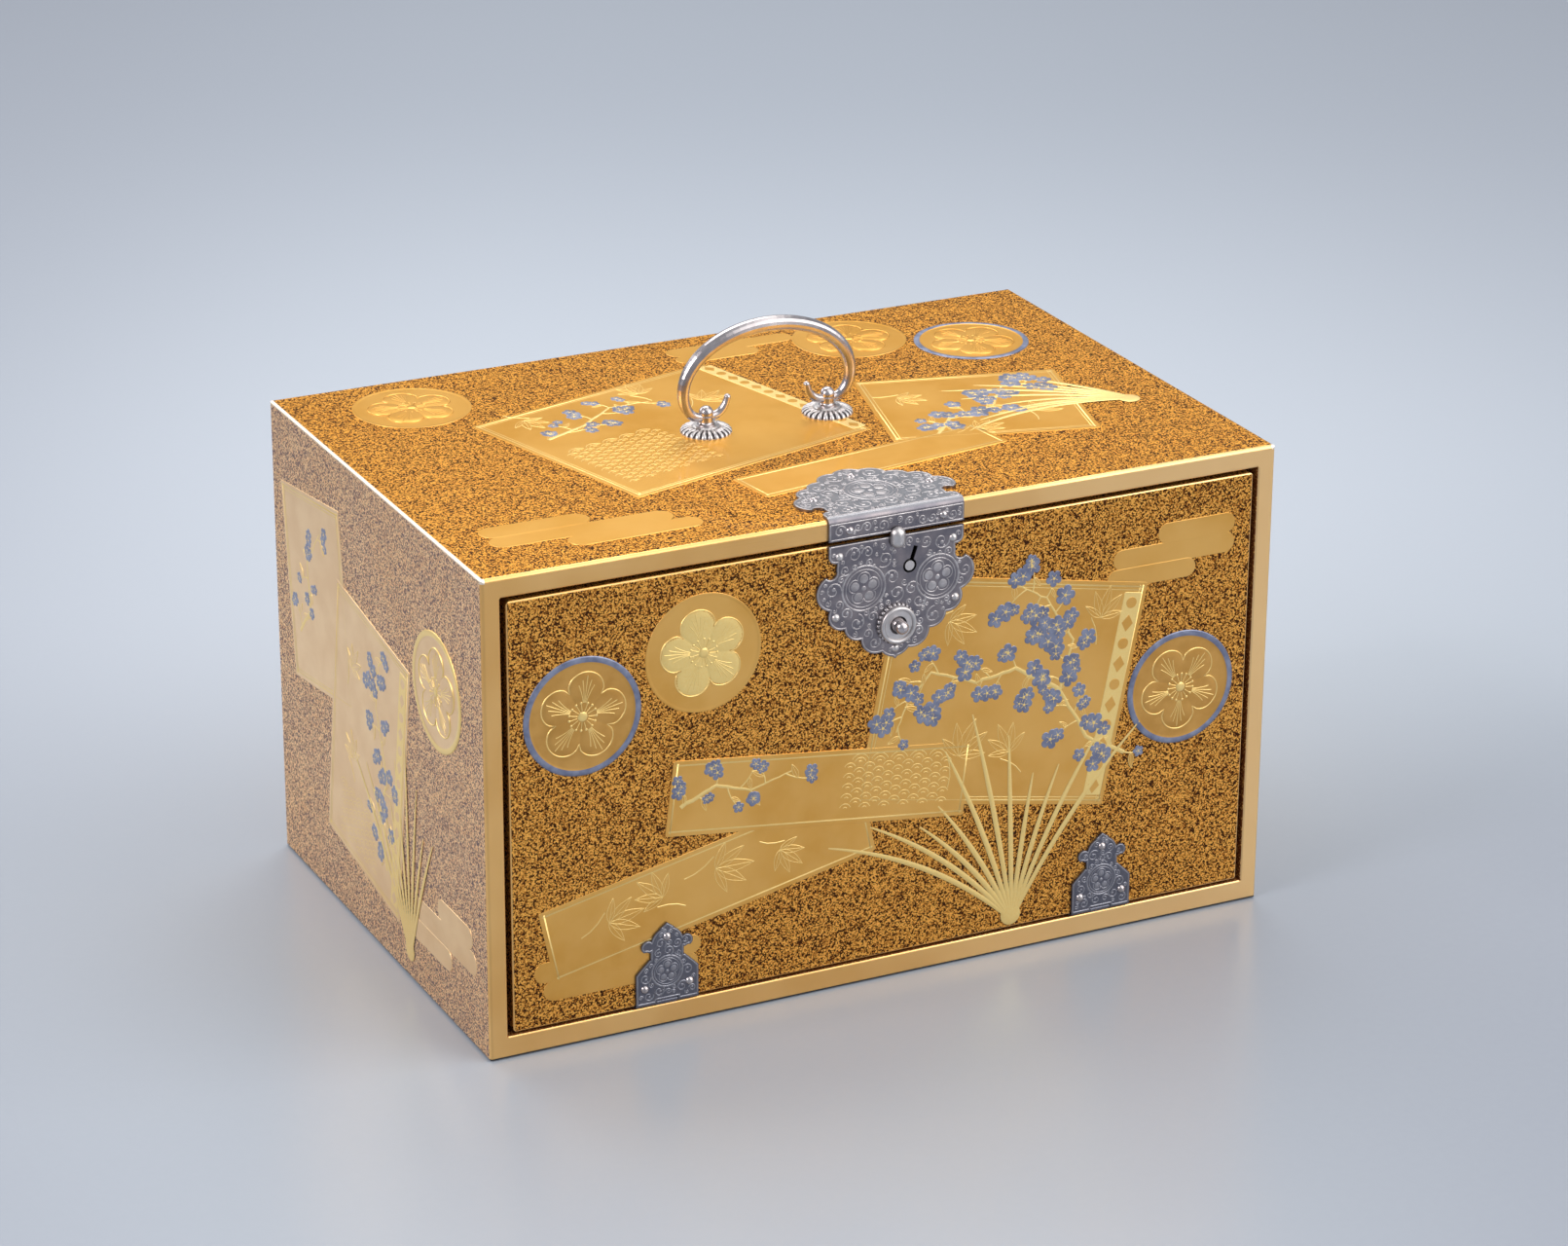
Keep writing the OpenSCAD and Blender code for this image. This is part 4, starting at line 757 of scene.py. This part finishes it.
for k, (side, lift, places) in enumerate((
        (FRONT, 0.14, ((-96, 39, 11, 20), (-78, 44, 10, 150), (-60, 50, 12, 8), (-38, 52, 9, -30))),
        (FRONT, 0.21, ((24, 72, 12, 70), (42, 70, 10, 120), (20, 118, 10, -20), (74, 110, 10, 80))),
        (TOP, 0.14, ((-10, 28, 10, 40), (-26, 42, 9, 100), (-70, 34, 9, -60))),
        (TOP, 0.2, ((58, -34, 9, 10), (84, -28, 10, 60), (48, 2, 9, -30))),
        (LEFT, 0.2, ((-22, 58, 9, 100), (-20, 90, 9, 60), (14, 40, 8, 130))),
        (RIGHT, 0.14, ((-16, 74, 10, 100), (-20, 104, 9, 40), (28, 104, 9, -20))),
        (BACK, 0.14, ((-20, 72, 10, 30), (-62, 104, 9, 80), (-36, 64, 9, 120), (-8, 92, 9, -40))))):
    grove = Relief(side)
    for x, y, length, turn in places:
        spray(grove, x, y, length, turn, lift)
    grove.make("bamboo_grass_%d" % (k + 1), [line_finish, line_finish, powder_on(side)])


# The roundels: flat gold discs, some with a raised ring of blue-grey silver or bright gold,
# and a generic five-petalled blossom in low relief.
def blossom_height(angle, far):
    """How high a carved blossom stands, from 0 to 1, far as a share of its radius."""
    share = far / petal_reach(angle)
    if share > 1:
        return 0
    petal = abs(cos(2.5 * angle)) ** 0.6
    rim = min(1, (1 - share) / 0.12) ** 0.6
    return rim * (0.45 + 0.55 * petal * sin(pi * min(1, 0.15 + share * 0.75)))


def roundel(side, name, x, y, ring, bright, turn, radius=19.3, sides=120, steps=32):
    disc = Relief(side)
    band = 2.3 if ring else 0.8
    inner, size = radius - band, 14.3
    reaches = [radius] + [radius - band * k / 6 for k in range(6)]
    reaches += [inner * (1 - k / steps) for k in range(steps)]
    rows = []
    for k, reach in enumerate(reaches):
        row = []
        for i in range(sides):
            a = 2 * pi * i / sides
            lift = 0.12 + 0.34 * blossom_height(a - radians(turn), reach / size)
            if k == 0:
                lift = -0.05
            elif k < 7:
                lift = 0.16 + (0.16 * sin(pi * (k - 1) / 6) if ring else 0)
            row.append((x + reach * cos(a), y + reach * sin(a), lift))
        rows.append(row)
    disc.rings(rows)
    for k in range(len(reaches) - 1):
        for i in range(sides):
            if k < 6 and ring:
                disc.tones[k * sides + i] = 1
            elif bright and k > 6 and reaches[k] < size * petal_reach(2 * pi * i / sides - radians(turn)):
                disc.tones[k * sides + i] = 2
    disc.tone, vein_start = 2, 4.6
    petal_edge = circle(lambda a: size * petal_reach(a), 90)
    disc.ridge(turned(petal_edge, x, y, turn), 0.5, 0.10, 0.30, closed=True)
    for k in range(5):
        for way in (-2, -1, 0, 1, 2):
            vein, vein_end = [], size * (0.93 - 0.1 * abs(way))
            for i in range(9):
                r = vein_start + (vein_end - vein_start) * i / 8
                a = radians(72 * k) + radians(way * (3 + 4.2 * (i / 8)))
                vein.append((r * cos(a), r * sin(a)))
            disc.ridge(turned(vein, x, y, turn), 0.3, 0.41, 0.10)
        for lean in (-22, 0, 22):
            a = radians(72 * k + 36 + lean)
            *thread, tip = turned([(r * cos(a), r * sin(a)) for r in (1.8, 3.0, 4.2, 4.5)], x, y, turn)
            disc.ridge(thread, 0.3, 0.36, 0.14)
            disc.dome(*tip, 0.45, 0.38, 0.16, 8)
    disc.dome(x, y, 1.7, 0.3, 0.3, 16)
    base = brown_finish if ring is silver_leaf_finish and side is not TOP else powder_on(side)
    disc.make(name, [base, ring or base, powder_finish if side is TOP else line_finish])


for side, name, x, y, ring, bright, turn in (
        (FRONT, "front_left_roundel", -104, 109, silver_leaf_finish, False, 10),
        (FRONT, "front_gold_roundel", -64, 122.5, None, True, 30),
        (FRONT, "front_right_roundel", 104, 81, silver_leaf_finish, False, 50),
        (TOP, "top_left_roundel", -97.4, 61, None, False, 20),
        (TOP, "top_middle_roundel", 61, 62.5, None, False, 0),
        (TOP, "top_right_roundel", 97.3, 43.5, silver_leaf_finish, False, 40),
        (LEFT, "left_roundel", 51.5, 108.7, line_finish, False, 15),
        (RIGHT, "right_roundel", -52, 112, silver_leaf_finish, False, 35),
        (BACK, "back_left_roundel", 92, 100, silver_leaf_finish, False, 5),
        (BACK, "back_right_roundel", -104, 38, None, True, 25)):
    roundel(side, name, x, y, ring, bright, turn)


# The plates: dark silver sheet, pinned to the wood, with scrolling vines raised over a
# punched ground, flower medals and a bead round the edge. It is darker towards the bottom.
# Darker towards the bottom, from 60 mm down to 30 mm, so the hinge leaves are darkest.
def darker_towards_bottom(place):
    return between(parts_of(place)[2], 60 * mm, 30 * mm) * 0.75


def dark_silver(place, tree):
    patch = between(noise(place, 6 * mm, 4), 0.3, 0.75)
    pit = place.node("ShaderNodeTexVoronoi", {"Vector": place, "Scale": 1 / (0.42 * mm)})
    tone = mixed(patch, (0.165, 0.158, 0.185), (0.28, 0.250, 0.262))
    # Faces that look upwards are painted lighter: a painted sheen.
    painted_top_sheen = between(parts_of(facing(tree))[2], 0.5, 0.95)
    tone = mixed(painted_top_sheen, tone, (0.27, 0.27, 0.292))
    tone = mixed(darker_towards_bottom(place), tone, (0.115, 0.125, 0.165))
    return {"Base Color": tone, "Roughness": 0.38 - patch * 0.06,
            "Normal": bump(place, 1 - between(pit, 0.15, 0.5), 0.12, 0.06 * mm)}


def worn_silver(place, tree):
    patch = between(noise(place, 3 * mm, 4), 0.35, 0.75)
    tone = mixed(patch, (0.37, 0.345, 0.355), (0.58, 0.55, 0.555))
    tone = mixed(darker_towards_bottom(place), tone, (0.25, 0.26, 0.31))
    return {"Base Color": tone, "Roughness": 0.42 - patch * 0.08}


plate_finish = finish("dark_silver", dark_silver, Metallic=0.95)
worn_finish = finish("worn_silver", worn_silver, Metallic=1.0)
dress(plate_finish, "lock_plate", "hasp_plate", "left_door_leaf", "right_door_leaf", "left_rail_leaf",
      "right_rail_leaf", "strike_plate", "lock_case", "lock_cover")


def edges_of(node, side, lift):
    """The closed edges of a plate's flat face at lift, the longest first, as points on the side."""
    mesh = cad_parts[node].data
    spots = [side.of(vertex.co) for vertex in mesh.vertices]
    steps = set()
    for face in mesh.polygons:
        if face.normal.dot(side.out) > 0.99 * mm and abs(spots[face.vertices[0]][2] - lift) < 0.03:
            corners = [(round(spots[v][0], 2), round(spots[v][1], 2)) for v in face.vertices]
            steps |= set(zip(corners, corners[1:] + corners[:1]))
    ahead = {a: b for a, b in steps if (b, a) not in steps and a != b}
    loops = []
    while ahead:
        start, spot = ahead.popitem()
        loop = [start]
        while spot in ahead:
            loop.append(spot)
            spot = ahead.pop(spot)
        loops.append(evened(loop, 0.4))
    return sorted(loops, key=len, reverse=True)


def evened(loop, step):
    """The same closed path with its points about step apart."""
    points = []
    for (ax, ay), (bx, by) in zip(loop, loop[1:] + loop[:1]):
        parts = max(1, round(hypot(bx - ax, by - ay) / step))
        points += [(ax + (bx - ax) * i / parts, ay + (by - ay) * i / parts) for i in range(parts)]
    return points


def lies_inside(outline, x, y):
    inside = False
    for (ax, ay), (bx, by) in zip(outline, outline[1:] + outline[:1]):
        if (ay > y) != (by > y) and x < ax + (bx - ax) * (y - ay) / (by - ay):
            inside = not inside
    return inside


def vines(relief, dice, outline, taken, biggest, lift):
    """Curling vines that fill a plate round the taken circles, each curl a spiral with lobed leaves."""
    xs, ys = [p[0] for p in outline], [p[1] for p in outline]
    curls, size, smallest, tries, spiral = [], biggest, 0.6, 420, 7.6
    while size > smallest:
        for _ in range(tries):
            x, y = dice.uniform(min(xs), max(xs)), dice.uniform(min(ys), max(ys))
            free = all(hypot(x - a, y - b) > size * 0.90 + r * 0.95 for a, b, r in taken + curls)
            free = free and lies_inside(outline, x, y)
            if free and all(hypot(x - a, y - b) > size + 0.75 for a, b in outline):
                curls.append((x, y, size))
        size *= 0.86
    for k, (x, y, size) in enumerate(curls):
        near = min(taken + curls[:k] or [(0, 0, 0)], key=lambda c: hypot(c[0] - x, c[1] - y) - c[2])
        start, way = atan2(near[1] - y, near[0] - x), (-1) ** k

        def along(t, reach, shrink, ahead):
            far, a = reach * (1 - shrink * t / 20), start + way * spiral * t / 20 + ahead
            return x + far * cos(a), y + far * sin(a)

        path = [along(t, size, 0.78, 0) for t in range(21)]
        relief.ridge(path, lambda t: 0.27 + 0.25 * (1 - t), lift, 0.12)
        relief.dome(*path[-1], 0.2 * size + 0.1, lift, 0.12, 8)
        if size > 1.1:
            for t in (4, 7, 10):
                relief.dome(*along(t, 0.72 * size, 0.3, 0.4), 0.13 * size, lift, 0.09, 7)


def medal(relief, x, y, size, lift):
    """A double ring round a plain flower of five petals."""
    for far, width, height in ((size, 0.65, 0.14), (size * 0.84, 0.34, 0.10)):
        relief.ridge([(x + u, y + v) for u, v in circle(far, 48)], width, lift, height, closed=True)
    reach, turn = size * 0.72, 18
    edge = circle(lambda a: reach * petal_reach(a), 60)
    relief.ridge(turned(edge, x, y, turn), 0.42, lift, 0.12, closed=True)
    for k in range(5):
        a = radians(turn + 72 * k)
        relief.dome(x + 0.6 * reach * cos(a), y + 0.6 * reach * sin(a), 0.29 * reach, lift, 0.12, 12)
    relief.dome(x, y, reach * 0.16, lift, 0.14, 10)


# Each plate's circles that stay free, its medals and its biggest curl.
button_spot, plate_face = (0.9, 121.1), 0.79
CASE_FRONT = Side("case", (0, -chest_y, 0), (1, 0, 0), (0, 0, 1))
dice = random.Random(7)
for name, side, node, taken, medals, biggest in (
        ("lock_plate_vines", FRONT, "lock_plate",
         [(*key_spot, 3.1), (5.5, 144.3, 1.6), (*button_spot, 7.2), (0.9, 149, 3.0)],
         [(-10.2, 134.4, 7.3), (15.2, 134.0, 7.3)], 2.9),
        ("hasp_top_vines", TOP, "hasp_plate", [], [(0.9, -71, 8.4)], 3.2),
        ("hasp_front_vines", CASE_FRONT, "hasp_plate", [(0.9, 151, 3.2)], [], 2.5),
        ("left_leaf_vines", FRONT, "left_door_leaf", [], [(-76.8, 18.9, 5.2)], 2.0),
        ("right_leaf_vines", FRONT, "right_door_leaf", [], [(76.8, 18.9, 5.2)], 2.0)):
    engraving = Relief(side)
    outline, *holes = edges_of(node, side, 0.8)
    for hole in holes:
        x, y = sum(p[0] for p in hole) / len(hole), sum(p[1] for p in hole) / len(hole)
        taken.append((x, y, max(hypot(p[0] - x, p[1] - y) for p in hole) + 0.5))
    engraving.ridge(inset(outline, 0.45), 0.5, plate_face, 0.12, closed=True)
    for spot in medals:
        medal(engraving, *spot, plate_face)
    vines(engraving, dice, outline, taken + medals, biggest, plate_face)
    engraving.make(name, [worn_finish])


# The bright silver: the bail and its posts, the button, the bolt, the hinge pins, most of the
# rivets, the nails and the knobs, drawn or cast in silver and polished by handling.
def bright_silver(place, tree):
    patch = between(noise(place, 6 * mm, 4), 0.35, 0.8)
    return {"Base Color": mixed(patch, (0.45, 0.41, 0.415), (0.60, 0.56, 0.565)),
            "Roughness": 0.23 + patch * 0.06}


bright_finish = finish("bright_silver", bright_silver, Metallic=1.0)
dress(bright_finish, "door_leaf_rivets", "rail_leaf_nails", "hasp_rivets",
      "left_hinge_pin", "right_hinge_pin", "push_button", "lock_bolt",
      "bail_handle", "left_bail_post", "right_bail_post", "bail_post_washers", "top_left_drawer_knob",
      "top_right_drawer_knob", "middle_drawer_knobs", "bottom_drawer_knobs")


# The button's spring: silver wire wound in a coil between the button's flange and the cover
# of the lock case.
near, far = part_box("button_spring")
wire_r, press = 0.15 * mm, 1.2 * mm
turns, steps, sides = 3, 24, 10
coil_r = (far[0] - near[0]) / 2 - wire_r
middle_x, middle_z = (near[0] + far[0]) / 2, (near[2] + far[2]) / 2
points, faces = [], []
for i in range(turns * steps + 1):
    a = 2 * pi * i / steps
    y = near[1] + wire_r + (far[1] - near[1] - 2 * wire_r) * i / (turns * steps)
    for j in range(sides):
        b = 2 * pi * j / sides
        reach = coil_r + wire_r * cos(b)
        points.append((middle_x + reach * cos(a), y + wire_r * sin(b), middle_z + reach * sin(a)))
        if i:
            k, other = (i - 1) * sides + j, (i - 1) * sides + (j + 1) % sides
            faces.append((k, other, other + sides, k + sides))
faces += [tuple(range(sides - 1, -1, -1)), tuple(range(len(points) - sides, len(points)))]
coil_mesh = bpy.data.meshes.new("button_coil")
coil_mesh.from_pydata(points, [], faces)
coil_mesh.polygons.foreach_set("use_smooth", [len(face) == 4 for face in faces])
coil_mesh.materials.append(bright_finish)
coil = bpy.data.objects.new("button_coil", coil_mesh)
scene.collection.objects.link(coil)
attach(coil, "door")
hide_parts("button_spring")
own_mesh(coil)


# The rosettes: cast silver flowers under the bail posts and behind the button, with many slim
# petals and black tarnish in the grooves between them. The collar, the stud, the key pin and
# the lock plate's rivets are of the same pale silver.
def rosette_silver(place, tree):
    patch = noise(place, 1.5 * mm, 3)
    tone = mixed(patch, (0.52, 0.49, 0.485), (0.68, 0.655, 0.65))
    return {"Base Color": tone, "Roughness": 0.34 + patch * 0.12}


def tarnish(place, tree):
    return {"Base Color": mixed(noise(place, 0.8 * mm, 3), (0.035, 0.03, 0.032), (0.14, 0.125, 0.13)),
            "Roughness": 0.5 + noise(place, 1 * mm) * 0.1}


rosette_finish = finish("rosette_silver", rosette_silver, Metallic=1.0)
dress(rosette_finish, "button_collar", "door_stud", "key_pin", "lock_plate_rivets")
tarnish_finish = finish("tarnish", tarnish, Metallic=0.8)


def rosette(side, name, node, x, y, reach, height, eye, land, petals, lift, silver):
    """A flower whose petals start at land and droop to its rim, round a post of radius eye."""
    flower = Relief(side)
    per_petal, points = 10, []
    sides = petals * per_petal
    drooping = (0, 0.06, 0.14, 0.25, 0.4, 0.55, 0.7, 0.85, 1)
    rows = [(reach, 0.0)] + [(reach - (reach - land) * t, None) for t in drooping]
    rows += [(land - 0.05, 0.8), (land - 0.25, 0.98), (land - 0.6, 1.0), (eye, 1.0)]
    for r, high in rows:
        row = []
        for i in range(sides):
            a = 2 * pi * i / sides
            crest = abs(cos(petals * a / 2)) ** 0.5
            share = (r - land) / (reach - land)
            tip = r - 0.06 * reach * (1 - crest) * max(0, share)
            rise = high
            if high is None:
                droop = 0.16 + 0.72 * max(0, 1 - share ** 2.4) ** 0.5
                rise = droop * (0.42 + 0.58 * crest) if share > 0.01 else 0.82
            row.append((x + tip * cos(a), y + tip * sin(a), lift + height * rise))
        points.append(row)
    flower.rings(points, cap=False)
    for k in range(1, len(drooping)):
        for i in range(sides):
            if abs(i % per_petal - (per_petal - 1) / 2) < (2 if k < 6 else 1):
                flower.tones[k * sides + i] = 1
    piece = flower.make(name, [silver, tarnish_finish])
    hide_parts(node)


rosette(TOP, "left_bail_flower", "left_bail_rosette", -21.5, 0, 8.4, 2.6, 2.0, 4.4, 24, 0, rosette_finish)
rosette(TOP, "right_bail_flower", "right_bail_rosette", 21.5, 0, 8.4, 2.6, 2.0, 4.4, 24, 0, rosette_finish)
rosette(FRONT, "button_flower", "button_rosette", *button_spot, 6.75, 1.25, 4.6, 5.9, 26, 0.8, worn_finish)


# The drawers: fronts in the same gold flakes with plain gold edges, bands of gold mist and a
# plum branch, and thin trays behind in the brown lacquer of the inside.
tray_front = -72.5


def front_inside(place, normal):
    return parts_of(normal)[1] > -0.5, 0, 0


drawer_lacquer = lacquered("gold_flake_lacquer_drawers", front_inside, 0.05)
for drawer, bands, twig in (
        ("top_left", ((-98, 132, 46, 6.5), (-104, 126, 30, 6)),
         ((-44, 122), (-34, 130), (-22, 134), (-12, 140))),
        ("top_right", ((98, 128, 46, 6.5), (106, 134, 30, 6)),
         ((44, 140), (34, 132), (24, 128), (12, 124))),
        ("middle", ((-80, 84, 64, 7), (-96, 91, 34, 7), (84, 96, 54, 7)),
         ((-18, 78), (-4, 86), (8, 92), (26, 100))),
        ("bottom", ((84, 30, 70, 7.5), (70, 37.5, 40, 7), (-92, 50, 40, 7)),
         ((22, 26), (8, 36), (-8, 40), (-24, 54)))):
    dress(drawer_lacquer, drawer + "_drawer_front")
    dress(inside_finish, *(drawer + "_drawer_" + piece for piece in ("sides", "back", "bottom")))
    face = Side(drawer + "_drawer", (0, tray_front, 0), (1, 0, 0), (0, 0, 1))
    cloud = Relief(face)
    mist_bands(cloud, bands)
    cloud.make(drawer + "_drawer_mist", [powder_finish])
    sprig = Relief(face)
    branch(sprig, dice, twig, 0, 7, 2.3)
    sprig.make(drawer + "_drawer_branch", [line_finish, silver_leaf_finish, powder_finish])
